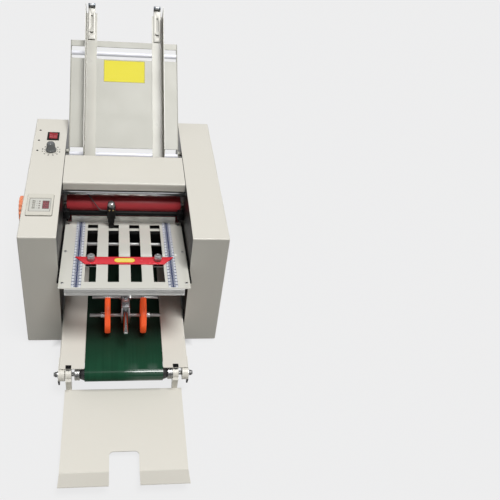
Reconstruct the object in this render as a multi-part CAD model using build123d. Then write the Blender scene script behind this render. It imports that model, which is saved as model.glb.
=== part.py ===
from build123d import *
import os
from math import atan2, cos, degrees, hypot, pi, radians, sin, sqrt, tan

# Desk paper folding machine, all lengths in millimetres. X runs across the paper, Y towards
# the back and Z up. Inside this script Y = 0 is the front face of the two side boxes, Z = 0
# the table top and X = 0 the middle of the paper path. The saved pieces are moved so that
# their origin is on the table under the middle of the machine.
origin_x = -12.0
origin_y = 123.18

# Overall frame
gap_width = 254.0
box_width = 71.0
box_depth = 428.0
box_height = 282.0
box_edge = 2.5
foot_height = 8.0
foot_radius = 13.0
foot_inset_x = 36.0
foot_inset_y = 34.0
sheet = 1.5
plate_thick = 5.0
seat_gap = 0.3
run_gap = 0.05
inner_x = gap_width / 2
outer_x = inner_x + box_width
plate_x = inner_x + plate_thick
box_bottom = foot_height
box_top = foot_height + box_height

# Fold rollers: the main roller carries the hand wheel, the others follow from it in a chain
main_roller_y = 215.0
main_roller_drop = 102.6
main_roller_z = box_top - main_roller_drop
gear_module = 2.0
gear_teeth = 20
gear_play = 0.2
gear_backlash = 0.25
gear_width = 8.0
pressure_angle = 20.0
roller_nip = 0.6
roller_half = inner_x - 7.0
roller_edge = 1.0
journal_radius = 5.0
upper_roller_angle = 118.8
lower_roller_angle = 222.6
exit_roller_angle = 299.1
roller_pitch = gear_module * gear_teeth + gear_play
roller_radius = (roller_pitch - roller_nip) / 2

# Bushings and the lanes of gears and belts outside the right frame plate
bushing_radius = 10.0
bushing_flange_radius = 13.0
bushing_flange = 2.0
lane_gap = 4.0
belt_width = 8.0
belt_thick = 2.5
pulley_rim = 1.2
bore_before = 2
bore_after = 12
pulley_rim_rise = belt_thick - 0.5
drive_pulley_radius = 25.0
motor_pulley_radius = 10.0
feed_drive_radius = 10.0
feed_pulley_radius = 14.0
delivery_drive_radius = 10.0
delivery_pulley_radius = 12.0
gear_start = plate_x + bushing_flange + 2.0
lane_one = gear_start + gear_width + lane_gap
lane_two = lane_one + belt_width + lane_gap

# Motor
motor_inset = 98.0
motor_y = box_depth - motor_inset
motor_z = 60.0
motor_radius = 35.0
motor_length = 96.0
motor_boss_radius = 9.0
motor_shaft_radius = 5.0
motor_groove_count = 12
motor_groove_radius = 2.0
motor_groove_inset = 14.0
motor_edge = 3.0
shaft_tip = 2.0

# Hand wheel
wheel_gap = 4.0
wheel_width = 20.0
wheel_radius = 31.0
wheel_flutes = 18
wheel_flute_radius = 3.2
wheel_flute_depth = 1.2
wheel_shaft_hole = 7.0
wheel_rim = 7.0
wheel_hub = 6.0
wheel_dish = 4.0
wheel_web = 7.0
wheel_edge = 3.0

# Paper feed
feed_shaft_y = 275.9
feed_shaft_z = main_roller_z + 27.5
feed_roller_radius = 24.0
feed_roller_half = 30.0
feed_roller_edge = 1.0
separator_rod_y = 245.0
separator_rod_z = box_top - 18.0
separator_half = 20.0
separator_gap = 0.6
separator_boss = 9.0
separator_outline = ((-6.0, -12.0), (6.0, -37.0), (12.0, -43.0), (24.0, -40.0), (25.0, -26.0), (12.0, -10.0))

# Feed board, sloping up to the back; s runs up the slope from the board's reference point
board_y = 324.8
board_z = box_top - 8.9
board_slope = 37.33
board_half = inner_x - 5.0
board_thick = 2.0
board_flange = 12.0
board_low = -105.0
board_high = 258.7
upper_window = (214.4, 244.3)
lower_window = (-30.0, 0.0)
guide_rod_radius = 5.0
guide_rod_depth = 5.0
upper_rod_s = 229.3
lower_rod_s = -14.5
feed_window_half = 34.0
feed_window = (-96.5, -50.0)
board_boss_radius = 5.0
board_boss_depth = 6.0
board_bosses = (-62.0, -8.0)

# Side guides on the feed board
guide_inner = 63.0
guide_outer = 88.5
guide_wall = 40.0
guide_high = 327.0
guide_front_y = 289.0
guide_sheet = 1.5
guide_clamp_half = 10.0
guide_clamp_length = 22.0
guide_clamp_depth = 12.0
strip_middle = 75.35
strip_half = 8.05
strip_thick = 2.0
strip_low = 259.8
strip_high = 346.0
strip_slot_half = 2.5
strip_slot = (277.0, 320.6)
strip_screw_s = 281.0
strip_screw_radius = 2.0
strip_head_radius = 4.5
strip_head_height = 3.0
strip_lug_height = 9.0
strip_lug_thick = 4.0
strip_bar_radius = 5.0

# Tie rods between the frame plates: front rod under the cover's flange, tray rod, low rods
cover_rod_y = 182.0
cover_rod_z = box_top - 28.0
cover_rod_radius = 6.0
tray_rod_y = 116.0
tray_rod_z = main_roller_z - 10.4
tie_radius = 5.0
low_rod_inset = 28.0
low_rod_drop = 100.0
low_rod_y = box_depth - low_rod_inset
low_rods = ((40.0, 28.0), (low_rod_y, 40.0), (low_rod_y, box_top - low_rod_drop))

# Cover over the rollers
cover_front = 176.0
cover_back = 281.5
cover_half = inner_x - 1.3
cover_flange_z = box_top - 18.0
cover_hem_z = box_top - 7.0
cover_front_bend = 4.0
cover_back_bend = 5.5
cover_ear_rise = 4.0
cover_ear_step = 2.0
cover_ear_slope = 12.0

# Folding trays: t runs outward from the mouth, w up from the upper plate's top face
front_mouth_y = 179.0
front_mouth_z = main_roller_z - 0.4
front_tray_rise = 8.0
rear_mouth_y = 224.0
rear_mouth_z = main_roller_z - 37.4
rear_tray_fall = 10.0
tray_length = 243.5
tray_half = inner_x - 4.0
tray_lip = 14.0
tray_lip_half = tray_half - 12.5
tray_gap = 5.0
tray_lower_start = 20.5
tray_slot_pitch = 43.5
tray_slot_width = 21.3
tray_slot_end = tray_length - 20.3
tray_slot = (11.5, tray_slot_end)
tray_lower_slot = (38.5, tray_slot_end)
tray_rail_width = 7.0
tray_bracket = (26.0, 46.0)
tray_bracket_two = (146.0, 166.0)
tray_bracket_drop = 14.0
tray_bar_depth = 12.0
tray_bar_height = 15.0
tray_bar_half = tray_half - 11.0
tray_bar_proud = 1.0
tray_bar_groove = 1.2
tray_bar_wall = 2.0
tray_bar_web = 0.7
tray_bar_grooves = 3

# Dark sheet hanging in front of the lower rollers, over the way out of the folded paper
guard_y = front_mouth_y - 20.7
guard_thick = 1.5
guard_low_z = main_roller_z - 55.4
guard_high_z = main_roller_z - 9.4

# Paper stops in the trays
stop_rear = 140.5
stop_front = 165.5
stop_half_rear = 97.0
stop_half_front = 77.0
stop_thick = 2.0
stop_nut_t = 152.5
stop_nut_radius = 7.5
stop_nut_edge = 1.5
stop_nut_height = 12.0
stop_stud_radius = 2.5
stop_finger_half = 9.0
stop_finger_thick = 2.5
stop_finger_drop = 9.5
stop_clamp_half = 14.0
stop_clamp_length = 12.0
stop_clamp_thick = 2.0

# Counting sensor at the front tray's mouth
sensor_bar_y = 169.0
sensor_bar_z = main_roller_z + 31.1
sensor_bar_radius = 5.0
sensor_block_low = sensor_bar_z - 12.5
sensor_block_high = sensor_bar_z + 7.5
sensor_block_y = (162.0, 174.3)
sensor_block_width = 14.0
sensor_block_edge = 2.0
sensor_x = -27.0
sensor_half = 9.5
sensor_edge = 1.5
sensor_foot_play = 1.0
sensor_y = (158.0, 172.0)
sensor_base_z = sensor_bar_z - 19.5
sensor_top_z = sensor_bar_z + 19.5
sensor_foot_half = 5.0
sensor_foot_y = (160.5, 170.5)
sensor_foot_z = sensor_bar_z - 33.5
sensor_knob_radius = 7.5
sensor_knob_height = 12.0
sensor_knob_edge = 1.2
lead_radius = 1.1
lead_back = 10.0
lead_drop = 3.0
lead_run = 46.0
lead_entry = 14.0
lead_below_top = 10.0
lead_first_bend = 14
lead_second_bend = 12

# Delivery conveyor
conveyor_front_y = -128.0
conveyor_rear_y = 185.0
conveyor_z = 54.5
conveyor_roller_radius = 12.3
conveyor_belt_thick = 1.8
conveyor_belt_gap = 0.3
conveyor_taper_radius = 9.5
conveyor_taper_length = 8.0
conveyor_shaft_radius = 4.0
conveyor_collar_radius = 12.0
conveyor_collar_length = 10.0
conveyor_collar_edge = 0.8
conveyor_nut_radius = 7.5
conveyor_nut_length = 6.0
conveyor_washer_radius = 9.0
conveyor_washer_thick = 2.0
rail_outer = inner_x - 3.0
rail_inner = rail_outer - 48.0
conveyor_roller_half = rail_inner + 8.0
conveyor_belt_half = rail_inner - 0.8
conveyor_shaft_half = rail_outer + 10.0
belt_top_z = conveyor_z + conveyor_roller_radius + conveyor_belt_gap + conveyor_belt_thick
rail_top_z = 71.0
rail_thick = 2.0
rail_low_z = 44.0
rail_front_y = -128.0
rail_back_y = 200.0
ear_thick = 12.0
ear_radius = 13.0
ear_proud = 1.0
ear_shoulder = 12.0
ear_back_y = -98.0
ear_tab_half = 5.0
ear_tab_drop = 13.0
ear_tab_root = 1.0
rail_bosses = (40.0, 150.0)
rail_boss_radius = 6.0
rail_boss_z = 52.0
bed_thick = 1.6
bed_sink = 0.3
bed_front_y = -108.0
bed_back_y = 164.0

# Exit wheels that press the paper on the conveyor
carriage_x = 3.0
exit_wheel_radius = 36.0
exit_wheel_gap = 1.1
exit_shaft_z = belt_top_z + exit_wheel_gap + exit_wheel_radius
centre_rod_z = exit_shaft_z + 12.0
centre_rod_radius = 4.0
centre_rod_tip_y = -82.0
hanger_half = 6.0
hanger_depth = 18.0
hanger_boss = 9.0
block_half = 8.5
block_y = (-21.0, 24.0)
block_z = (centre_rod_z - 9.5, centre_rod_z + 12.0)
fork_thick = 3.0
fork_y = (-31.0, -11.0)
fork_low_z = exit_shaft_z - 16.0
fork_corner = 4.0
fork_shoulder = 6.0
block_edge = 2.0
exit_shaft_y = -21.0
exit_shaft_radius = 3.5
exit_shaft_left = -68.0
exit_shaft_right = 73.0
exit_wheel_width = 11.0
exit_wheel_edge = 1.5
exit_wheel_dish = 2.5
exit_wheel_rim = 7.0
exit_wheel_hub = 3.0
exit_wheel_offset = 35.5
exit_collar_radius = 6.0
exit_collar_length = 8.0
cross_rod_y = 18.0
cross_rod_z = centre_rod_z - 0.5
cross_rod_radius = 3.0
cross_rod_half = 67.0
clamp_screw_y = -8.0
clamp_screw_radius = 6.0
clamp_screw_height = 11.0
clamp_screw_edge = 1.0

# Receiving tray
receive_half = rail_outer - 10.0
receive_plate_z = 17.0
receive_back_y = -136.0
receive_bend_y = -317.0
receive_lip_y = -352.0
receive_lip_z = 32.0
receive_flange = 11.0
receive_notch_half = 27.0
receive_notch_y = -276.0
receive_notch_beyond = 10.0
receive_corner = 8.0
receive_bend_radius = 8.0
receive_flange_start = receive_bend_y + 3.0
hook_left = rail_outer - 12.5
hook_width = 11.0
hook_right = conveyor_roller_half + conveyor_collar_length + 2 * seat_gap
hook_radius = 11.5
hook_leaf = 46.0
hook_leaf_thick = 2.0
hook_nose = 2.0
hook_heel = 4.0
hook_heel_drop = 8.0
hook_clearance = 1.0
hook_clearance_rise = 4.0
receive_foot_radius = 8.0
receive_foot_y = -300.0
receive_foot_x = receive_half - 18.0
receive_foot_taper = 2.0

# Controls on top of the left box
counter_middle = -inner_x - 37.0
counter_x = (counter_middle - 25.0, counter_middle + 25.0)
counter_y = (64.0, 132.0)
counter_bezel = 3.0
counter_corner = 3.0
counter_edge = 1.0
counter_body = 44.4
counter_body_depth = 42.0
counter_body_y = 98.0
counter_face_recess = 0.8
counter_face_x = (counter_middle - 22.0, counter_middle + 22.0)
counter_face_y = (74.0, 118.0)
display_x = (counter_middle + 5.5, counter_middle + 20.0)
display_y = (84.0, 109.0)
display_thick = 1.0
button_x = counter_middle - 12.0
button_first_y = 86.0
button_pitch = 7.2
button_count = 4
button_size = 5.0
button_proud = 1.5
button_gap = 0.3
button_pocket = 2.0
button_travel = 1.0
button_edge = 0.6
switch_x = -inner_x - 29.0
switch_y = 350.0
switch_bezel_x = 28.0
switch_bezel_y = 24.0
switch_bezel = 3.0
switch_edge = 1.0
switch_rim = 4.0
switch_body_depth = 28.0
rocker_radius = 9.7
rocker_rise = 2.6
rocker_tilt = 5.0
rocker_pivot_drop = 2.4
rocker_play = 1.0
knob_x = -inner_x - 30.0
knob_y = 293.5
knob_skirt_radius = 12.3
knob_top_radius = 8.5
knob_height = 18.0
knob_skirt_height = 5.0
knob_lift = 1.0
knob_flutes = 16
knob_flute_radius = 1.3
knob_flute_place = knob_top_radius + 1.9
knob_skirt_slope = 2.0
knob_taper = 1.6
knob_edge = 1.2
knob_shaft_radius = 3.0
pot_neck_radius = 4.5
pot_body_radius = 9.0
pot_body_depth = 12.0
pot_seat = 2.0
pot_collar = 2.0
pot_socket = 4.0

# Power inlet in the back of the left box
inlet_x = -inner_x - box_width / 2
inlet_z = 62.0
inlet_flange_x = 44.0
inlet_flange_z = 25.0
inlet_flange = 2.5
inlet_body_x = 28.0
inlet_body_z = 20.0
inlet_depth = 20.0
inlet_wall = 1.6
inlet_pin_depth = 9.0
inlet_corner = 3.0
inlet_chamfer = 4.0
inlet_pins = ((-7.0, -2.0), (0.0, 2.0), (7.0, -2.0))
inlet_pin_half_x = 1.0
inlet_pin_half_z = 2.0
vent_count = 6
vent_pitch = 11.0
vent_height = 4.0
vent_width = 40.0
vent_low_z = 50.0

low = (Align.MIN, Align.MIN, Align.MIN)
upright = (Align.CENTER, Align.CENTER, Align.MIN)


def block(x0, x1, y0, y1, z0, z1):
    return Pos(x0, y0, z0) * Box(x1 - x0, y1 - y0, z1 - z0, align=low)


def bar(x0, x1, y, z, radius):
    return Pos(x0, y, z) * Rot(0, 90, 0) * Cylinder(radius, x1 - x0, align=upright)


def post(x, y, z0, z1, radius):
    return Pos(x, y, z0) * Cylinder(radius, z1 - z0, align=upright)


# Extrudes an outline drawn in Y and Z along X
def across(outline, x0, x1):
    return extrude(Plane.YZ.offset(x0) * outline, amount=x1 - x0)


def folded(points, radii, thickness):
    return trace(FilletPolyline(*points, radius=radii), line_width=thickness)


def mirrored(shape):
    return mirror(shape, about=Plane.YZ)


def both_sides(shape):
    return shape + mirrored(shape)


# Every edge whose middle lies beyond the given X
def edges_beyond(solid, x):
    return solid.edges().filter_by(lambda edge: edge.center().X > x)


def polar(centre, distance, angle):
    y = centre[0] + distance * cos(radians(angle))
    z = centre[1] + distance * sin(radians(angle))
    return (y, z)


# Centres of the four fold rollers and the phase that brings their gears into mesh
def roller_chain():
    centres = [None] * 4
    centres[1] = (main_roller_y, main_roller_z)
    centres[0] = polar(centres[1], roller_pitch, upper_roller_angle)
    centres[2] = polar(centres[1], roller_pitch, lower_roller_angle)
    centres[3] = polar(centres[2], roller_pitch, exit_roller_angle)
    half_pitch = 180 / gear_teeth
    phases = [0.0] * 4
    phases[0] = 2 * upper_roller_angle + 180 + half_pitch - phases[1]
    phases[2] = 2 * lower_roller_angle + 180 + half_pitch - phases[1]
    phases[3] = 2 * exit_roller_angle + 180 + half_pitch - phases[2]
    return centres, phases


roller_centres, gear_phases = roller_chain()
board_plane = Plane(
    origin=(0, board_y, board_z),
    x_dir=(1, 0, 0),
    z_dir=(0, -sin(radians(board_slope)), cos(radians(board_slope))),
)
front_tray_plane = Plane(
    origin=(0, front_mouth_y, front_mouth_z),
    x_dir=(-1, 0, 0),
    z_dir=(0, sin(radians(front_tray_rise)), cos(radians(front_tray_rise))),
)
rear_tray_plane = Plane(
    origin=(0, rear_mouth_y, rear_mouth_z),
    x_dir=(1, 0, 0),
    z_dir=(0, sin(radians(rear_tray_fall)), cos(radians(rear_tray_fall))),
)
slot_middles = [(i - 1.5) * tray_slot_pitch for i in range(4)]


# ---- Frame ----

def bearing_centres():
    feed = (feed_shaft_y, feed_shaft_z)
    conveyor = (conveyor_rear_y, conveyor_z)
    return roller_centres + [feed, conveyor]


def frame_plate():
    margin = sheet + seat_gap
    plate = block(inner_x, plate_x, margin, box_depth - margin, box_bottom + margin, box_top - margin)
    plate = fillet(plate.edges().filter_by(Axis.X), box_edge)
    for y, z in bearing_centres():
        plate -= bar(inner_x, plate_x, y, z, bushing_radius + run_gap)
    return plate


def right_frame_plate():
    return frame_plate() - bar(inner_x, plate_x, motor_y, motor_z, motor_boss_radius + seat_gap)


def left_frame_plate():
    return mirrored(frame_plate())


def side_cover():
    outer = block(inner_x, outer_x, 0, box_depth, box_bottom, box_top)
    outer = fillet(edges_beyond(outer, inner_x + 0.1), box_edge)
    hollow = block(
        inner_x - 1, outer_x - sheet, sheet, box_depth - sheet, box_bottom + sheet, box_top - sheet
    )
    hollow = fillet(edges_beyond(hollow, inner_x - 0.9), box_edge - sheet)
    return outer - hollow


def right_side_cover():
    cover = side_cover()
    middle_x = inner_x + box_width / 2
    slot = SlotOverall(vent_width, vent_height)
    for i in range(vent_count):
        z = vent_low_z + i * vent_pitch
        cut = Plane(origin=(middle_x, box_depth - 2 * sheet, z), x_dir=(1, 0, 0), z_dir=(0, 1, 0))
        cover -= extrude(cut * slot, amount=3 * sheet)
    return cover


def left_side_cover():
    cover = mirrored(side_cover())
    top_cut = (box_top - 2 * sheet, box_top + sheet)
    half_body = counter_body / 2 + seat_gap
    middle = (counter_x[0] + counter_x[1]) / 2
    cover -= block(
        middle - half_body, middle + half_body,
        counter_body_y - half_body, counter_body_y + half_body, *top_cut,
    )
    half_x = switch_bezel_x / 2 - switch_rim / 2
    half_y = switch_bezel_y / 2 - switch_rim / 2
    cover -= block(switch_x - half_x, switch_x + half_x, switch_y - half_y, switch_y + half_y, *top_cut)
    cover -= post(knob_x, knob_y, *top_cut, pot_neck_radius + run_gap)
    cover -= bar(-outer_x - sheet, -outer_x + 2 * sheet, main_roller_y, main_roller_z, wheel_shaft_hole)
    half_x = inlet_body_x / 2 + seat_gap
    half_z = inlet_body_z / 2 + seat_gap
    cover -= block(
        inlet_x - half_x, inlet_x + half_x, box_depth - 2 * sheet, box_depth + sheet,
        inlet_z - half_z, inlet_z + half_z,
    )
    return cover


def rubber_feet():
    foot = Pos(0, 0, foot_height) * Rot(180, 0, 0) * Cone(
        foot_radius, foot_radius - 2, foot_height, align=upright
    )
    places = [
        (side * (outer_x - foot_inset_x), y)
        for side in (-1, 1)
        for y in (foot_inset_y, box_depth - foot_inset_y)
    ]
    return Compound([Pos(x, y, 0) * foot for x, y in places])


def tie_rods():
    rods = [bar(-inner_x, inner_x, cover_rod_y, cover_rod_z, cover_rod_radius)]
    rods.append(bar(-inner_x, inner_x, tray_rod_y, tray_rod_z, tie_radius))
    rods.append(bar(-inner_x, inner_x, separator_rod_y, separator_rod_z, tie_radius))
    rods += [bar(-inner_x, inner_x, y, z, tie_radius) for y, z in low_rods]
    half = board_half - board_thick
    for s in (upper_rod_s, lower_rod_s):
        place = board_plane.from_local_coords(Vector(0, s, -guide_rod_depth))
        rods.append(bar(-half, half, place.Y, place.Z, guide_rod_radius))
    return Compound(rods)


def roller_bearings():
    bushings = []
    for y, z in bearing_centres():
        bushing = bar(inner_x, plate_x, y, z, bushing_radius)
        bushing += bar(plate_x, plate_x + bushing_flange, y, z, bushing_flange_radius)
        bushing -= bar(inner_x, plate_x + bushing_flange, y, z, journal_radius + run_gap)
        bushings += [bushing, mirrored(bushing)]
    return Compound(bushings)


def roller_cover():
    half = sheet / 2
    points = [
        (cover_front + half, cover_flange_z),
        (cover_front + half, box_top - half),
        (cover_back - half, box_top - half),
        (cover_back - half, cover_hem_z),
    ]
    radii = [cover_front_bend - half, cover_back_bend - half]
    cover = across(folded(points, radii, sheet), -cover_half, cover_half)
    rest_z = cover_rod_z + cover_rod_radius + seat_gap
    ear_back = cover_back - cover_back_bend
    ear = Polyline(
        (cover_front + sheet / 2, cover_flange_z + cover_ear_rise),
        (cover_front + sheet + cover_ear_step, rest_z),
        (ear_back - cover_ear_slope, rest_z),
        (ear_back, cover_hem_z),
        (ear_back, box_top - half),
        (cover_front + cover_front_bend, box_top - half),
        (cover_front + sheet / 2, box_top - cover_front_bend),
        close=True,
    )
    side = across(make_face(ear), cover_half - sheet, cover_half)
    notch = bar(0, inner_x, separator_rod_y, separator_rod_z, tie_radius + seat_gap)
    notch += block(
        0, inner_x, separator_rod_y - tie_radius - seat_gap, separator_rod_y + tie_radius + seat_gap,
        rest_z - 1, separator_rod_z,
    )
    return cover + both_sides(side - notch)


# ---- Fold rollers, gears and belt drive ----

# Right end of each roller's shaft, from the lane of its outermost wheel
def shaft_ends():
    alone = gear_start + gear_width + shaft_tip
    return [alone, lane_two + belt_width + shaft_tip, alone, lane_one + belt_width + shaft_tip]


def fold_roller(index):
    y, z = roller_centres[index]
    core = chamfer(bar(-roller_half, roller_half, y, z, roller_radius).edges(), roller_edge)
    left_end = -plate_x - lane_gap
    if index == 1:
        left_end = -outer_x - wheel_gap - wheel_width + wheel_dish
    return core + bar(left_end, shaft_ends()[index], y, z, journal_radius)


# Involute flank of a tooth as points at growing radius, the tooth centred on +X
def flank_points(side):
    pitch_radius = gear_module * gear_teeth / 2
    base_radius = pitch_radius * cos(radians(pressure_angle))
    half_thickness = (pi * gear_module / 2 - gear_backlash / 2) / (2 * pitch_radius)
    involute = lambda roll: tan(roll) - roll
    offset = half_thickness + involute(radians(pressure_angle))
    points = []
    for step in (0.0, 0.5, 1.0):
        radius = base_radius + step * (pitch_radius + gear_module - base_radius)
        roll = sqrt((radius / base_radius) ** 2 - 1)
        angle = side * (offset - (roll - atan2(roll, 1)))
        points.append((radius * cos(angle), radius * sin(angle)))
    return points


def gear_outline():
    root_radius = gear_module * gear_teeth / 2 - 1.25 * gear_module
    rising = flank_points(-1)
    falling = flank_points(1)[::-1]
    base_angle = atan2(falling[-1][1], falling[-1][0])
    lines = []
    for i in range(gear_teeth):
        turn = Rot(0, 0, i * 360 / gear_teeth)
        next_angle = 2 * pi / gear_teeth - base_angle
        foot = (root_radius * cos(base_angle), root_radius * sin(base_angle))
        middle = (root_radius * cos(pi / gear_teeth), root_radius * sin(pi / gear_teeth))
        far = (root_radius * cos(next_angle), root_radius * sin(next_angle))
        first = (root_radius * cos(base_angle), -root_radius * sin(base_angle))
        lines.append(turn * Line(first, rising[0]))
        lines.append(turn * ThreePointArc(*rising))
        lines.append(turn * Line(rising[-1], falling[0]))
        lines.append(turn * ThreePointArc(*falling))
        lines.append(turn * Line(falling[-1], foot))
        lines.append(turn * ThreePointArc(foot, middle, far))
    return make_face(Curve() + lines)


def fold_gear(index):
    y, z = roller_centres[index]
    outline = Rot(0, 0, gear_phases[index]) * gear_outline()
    hub = Circle(journal_radius)
    plane = Plane(origin=(gear_start, y, z), x_dir=(0, 1, 0), z_dir=(1, 0, 0))
    gear = extrude(plane * (outline - hub), amount=gear_width)
    extra = {
        1: [(lane_one, drive_pulley_radius), (lane_two, feed_drive_radius)],
        3: [(lane_one, delivery_drive_radius)],
    }
    pieces = [gear]
    for start, radius in extra.get(index, []):
        bore = bar(start - bore_before, start + bore_after, y, z, journal_radius)
        pieces.append(pulley(start, y, z, radius) - bore)
    return Compound(pieces)


# Flat belt pulley with two rims, its running face inside the belt's lane
def pulley(start, y, z, radius):
    body = bar(start, start + belt_width, y, z, radius)
    for x in (start, start + belt_width - pulley_rim):
        body += bar(x, x + pulley_rim, y, z, radius + pulley_rim_rise)
    return body


# Closed flat belt round two pulleys
def belt_loop(start, first, first_radius, second, second_radius):
    def loop(extra):
        angle = atan2(second[1] - first[1], second[0] - first[0])
        distance = hypot(second[0] - first[0], second[1] - first[1])
        one = first_radius + extra
        two = second_radius + extra
        spread = atan2(sqrt(distance ** 2 - (one - two) ** 2), one - two)
        points = []
        for centre, radius, side in ((first, one, 1), (second, two, 1), (second, two, -1), (first, one, -1)):
            points.append(polar(centre, radius, degrees(angle + side * spread)))
        straight = make_face(Polyline(*points, close=True))
        return straight + Pos(*first) * Circle(one) + Pos(*second) * Circle(two)
    inner = pulley_rim + seat_gap
    outline = loop(seat_gap + belt_thick) - loop(seat_gap)
    return across(outline, start + inner, start + belt_width - inner)


def drive_belts():
    main = roller_centres[1]
    motor = belt_loop(lane_one, main, drive_pulley_radius, (motor_y, motor_z), motor_pulley_radius)
    feed_place = (feed_shaft_y, feed_shaft_z)
    feed = belt_loop(lane_two, main, feed_drive_radius, feed_place, feed_pulley_radius)
    rear = (conveyor_rear_y, conveyor_z)
    delivery = belt_loop(
        lane_one, roller_centres[3], delivery_drive_radius, rear, delivery_pulley_radius
    )
    return Compound([motor, feed, delivery])


def motor():
    start = inner_x - motor_length
    body = fillet(bar(start, inner_x, motor_y, motor_z, motor_radius).edges(), motor_edge)
    for i in range(motor_groove_count):
        y, z = polar((motor_y, motor_z), motor_radius, i * 360 / motor_groove_count)
        body -= bar(start + motor_groove_inset, inner_x - motor_groove_inset, y, z, motor_groove_radius)
    return body + bar(inner_x, plate_x, motor_y, motor_z, motor_boss_radius)


def motor_pulley():
    shaft = bar(plate_x + seat_gap, lane_one + belt_width + shaft_tip, motor_y, motor_z, motor_shaft_radius)
    return shaft + pulley(lane_one, motor_y, motor_z, motor_pulley_radius)


def hand_wheel():
    tip = -outer_x - wheel_gap - wheel_width
    y, z = roller_centres[1]
    rim = fillet(bar(tip, tip + wheel_width, y, z, wheel_radius).edges(), wheel_edge)
    inner = wheel_radius - wheel_rim
    hub = journal_radius + wheel_hub
    dish = bar(tip, tip + wheel_dish, y, z, inner) - bar(tip, tip + wheel_dish, y, z, hub)
    web = tip + wheel_dish + wheel_web
    back = bar(web, tip + wheel_width, y, z, inner) - bar(web, tip + wheel_width, y, z, hub)
    wheel = rim - dish - back
    flute_circle = wheel_radius + wheel_flute_radius - wheel_flute_depth
    for i in range(wheel_flutes):
        flute_y, flute_z = polar((y, z), flute_circle, i * 360 / wheel_flutes)
        wheel -= bar(tip, tip + wheel_width, flute_y, flute_z, wheel_flute_radius)
    return wheel - bar(tip + wheel_dish, tip + wheel_width, y, z, journal_radius)


# ---- Paper feed ----

def feed_roller():
    tyre = bar(-feed_roller_half, feed_roller_half, feed_shaft_y, feed_shaft_z, feed_roller_radius)
    tyre = chamfer(tyre.edges(), feed_roller_edge)
    end = lane_two + belt_width + shaft_tip
    shaft = bar(-plate_x - lane_gap, end, feed_shaft_y, feed_shaft_z, journal_radius)
    return tyre + shaft + pulley(lane_two, feed_shaft_y, feed_shaft_z, feed_pulley_radius)


def separator_block():
    y = separator_rod_y
    z = separator_rod_z
    points = [(y + dy, z + dz) for dy, dz in separator_outline]
    body = make_face(Polyline((y - separator_boss, z), *points, (y + separator_boss, z), close=True))
    body += Pos(y, z) * Circle(separator_boss)
    body -= Pos(y, z) * Circle(tie_radius)
    body -= Pos(feed_shaft_y, feed_shaft_z) * Circle(feed_roller_radius + separator_gap)
    return across(body, -separator_half, separator_half)


def feed_board():
    half = board_thick / 2
    edge = board_half - half
    points = [(-edge, -board_flange), (-edge, -half), (edge, -half), (edge, -board_flange)]
    outline = folded(points, [board_thick, board_thick], board_thick)
    channel = Plane.XZ.offset(-board_low) * outline
    length = board_high - board_low
    board = extrude(channel, amount=-length)
    board += block(-edge, edge, board_high - board_thick, board_high, -board_flange, -half)
    window_half = board_half - board_thick
    for start, end in (upper_window, lower_window):
        board -= block(-window_half, window_half, start, end, -board_thick - 1, 1)
    board -= block(-feed_window_half, feed_window_half, *feed_window, -board_thick - 1, 1)
    for s in board_bosses:
        board += both_sides(bar(edge, inner_x, s, -board_boss_depth, board_boss_radius))
    return board_plane * board


def paper_guide():
    half = guide_sheet / 2
    rest = seat_gap
    points = [
        (guide_inner, rest + half), (guide_outer - half, rest + half),
        (guide_outer - half, rest + guide_wall),
    ]
    outline = Plane.XZ.offset(-board_low) * folded(points, [guide_sheet], guide_sheet)
    guide = extrude(outline, amount=-(guide_high - board_low))
    middle = (guide_inner + guide_outer) / 2
    for s in (upper_rod_s, lower_rod_s):
        clamp = block(
            middle - guide_clamp_half, middle + guide_clamp_half, s - guide_clamp_length / 2,
            s + guide_clamp_length / 2, -guide_clamp_depth, rest + half,
        )
        guide += clamp - bar(0, board_half, s, -guide_rod_depth, guide_rod_radius + run_gap)
    screw_base = rest + guide_sheet - 0.2
    head = rest + guide_sheet + seat_gap + strip_thick + seat_gap
    guide += post(strip_middle, strip_screw_s, screw_base, head + 1, strip_screw_radius)
    guide += post(strip_middle, strip_screw_s, head, head + strip_head_height, strip_head_radius)
    placed = board_plane * guide
    return placed - block(0, inner_x, 0, guide_front_y, 0, 2 * box_top)


def guide_extension():
    base = seat_gap + guide_sheet + seat_gap
    top = base + strip_thick
    left = strip_middle - strip_half
    right = strip_middle + strip_half
    strip = block(left, right, strip_low, strip_high, base, top)
    slot_length = strip_slot[1] - strip_slot[0]
    slot_middle = (strip_slot[0] + strip_slot[1]) / 2
    slot = Pos(strip_middle, slot_middle, base) * Rot(0, 0, 90) * SlotOverall(
        slot_length, 2 * strip_slot_half
    )
    strip -= extrude(slot, amount=strip_thick)
    strip += block(left, right, strip_high - strip_lug_thick, strip_high, base, base + strip_lug_height)
    strip += bar(left, right, strip_high - strip_lug_thick / 2, base + strip_lug_height, strip_bar_radius)
    return board_plane * strip


# ---- Folding trays, drawn in a plane with t along its Y axis ----

def tray_slots(slot_range, low_w, high_w):
    half = tray_slot_width / 2
    return [block(x - half, x + half, *slot_range, low_w, high_w) for x in slot_middles]


def tray_top_plate(plane):
    plate = block(-tray_half, tray_half, 0, tray_length, -sheet, 0)
    for slot in tray_slots(tray_slot, -sheet, 0):
        plate -= slot
    lip = block(-tray_lip_half, tray_lip_half, 0, sheet, -sheet, tray_lip)
    return plane * (plate + lip)


# The slot under the sensor reaches further back to let the sensor's foot through
def front_tray_top_plate():
    reach = sensor_foot_half + sensor_foot_play
    cut = block(
        sensor_x - reach, sensor_x + reach,
        sensor_foot_y[0] - sensor_foot_play, sensor_foot_y[1] + sensor_foot_play,
        sensor_foot_z, sensor_base_z,
    )
    return tray_top_plate(front_tray_plane) - cut


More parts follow.
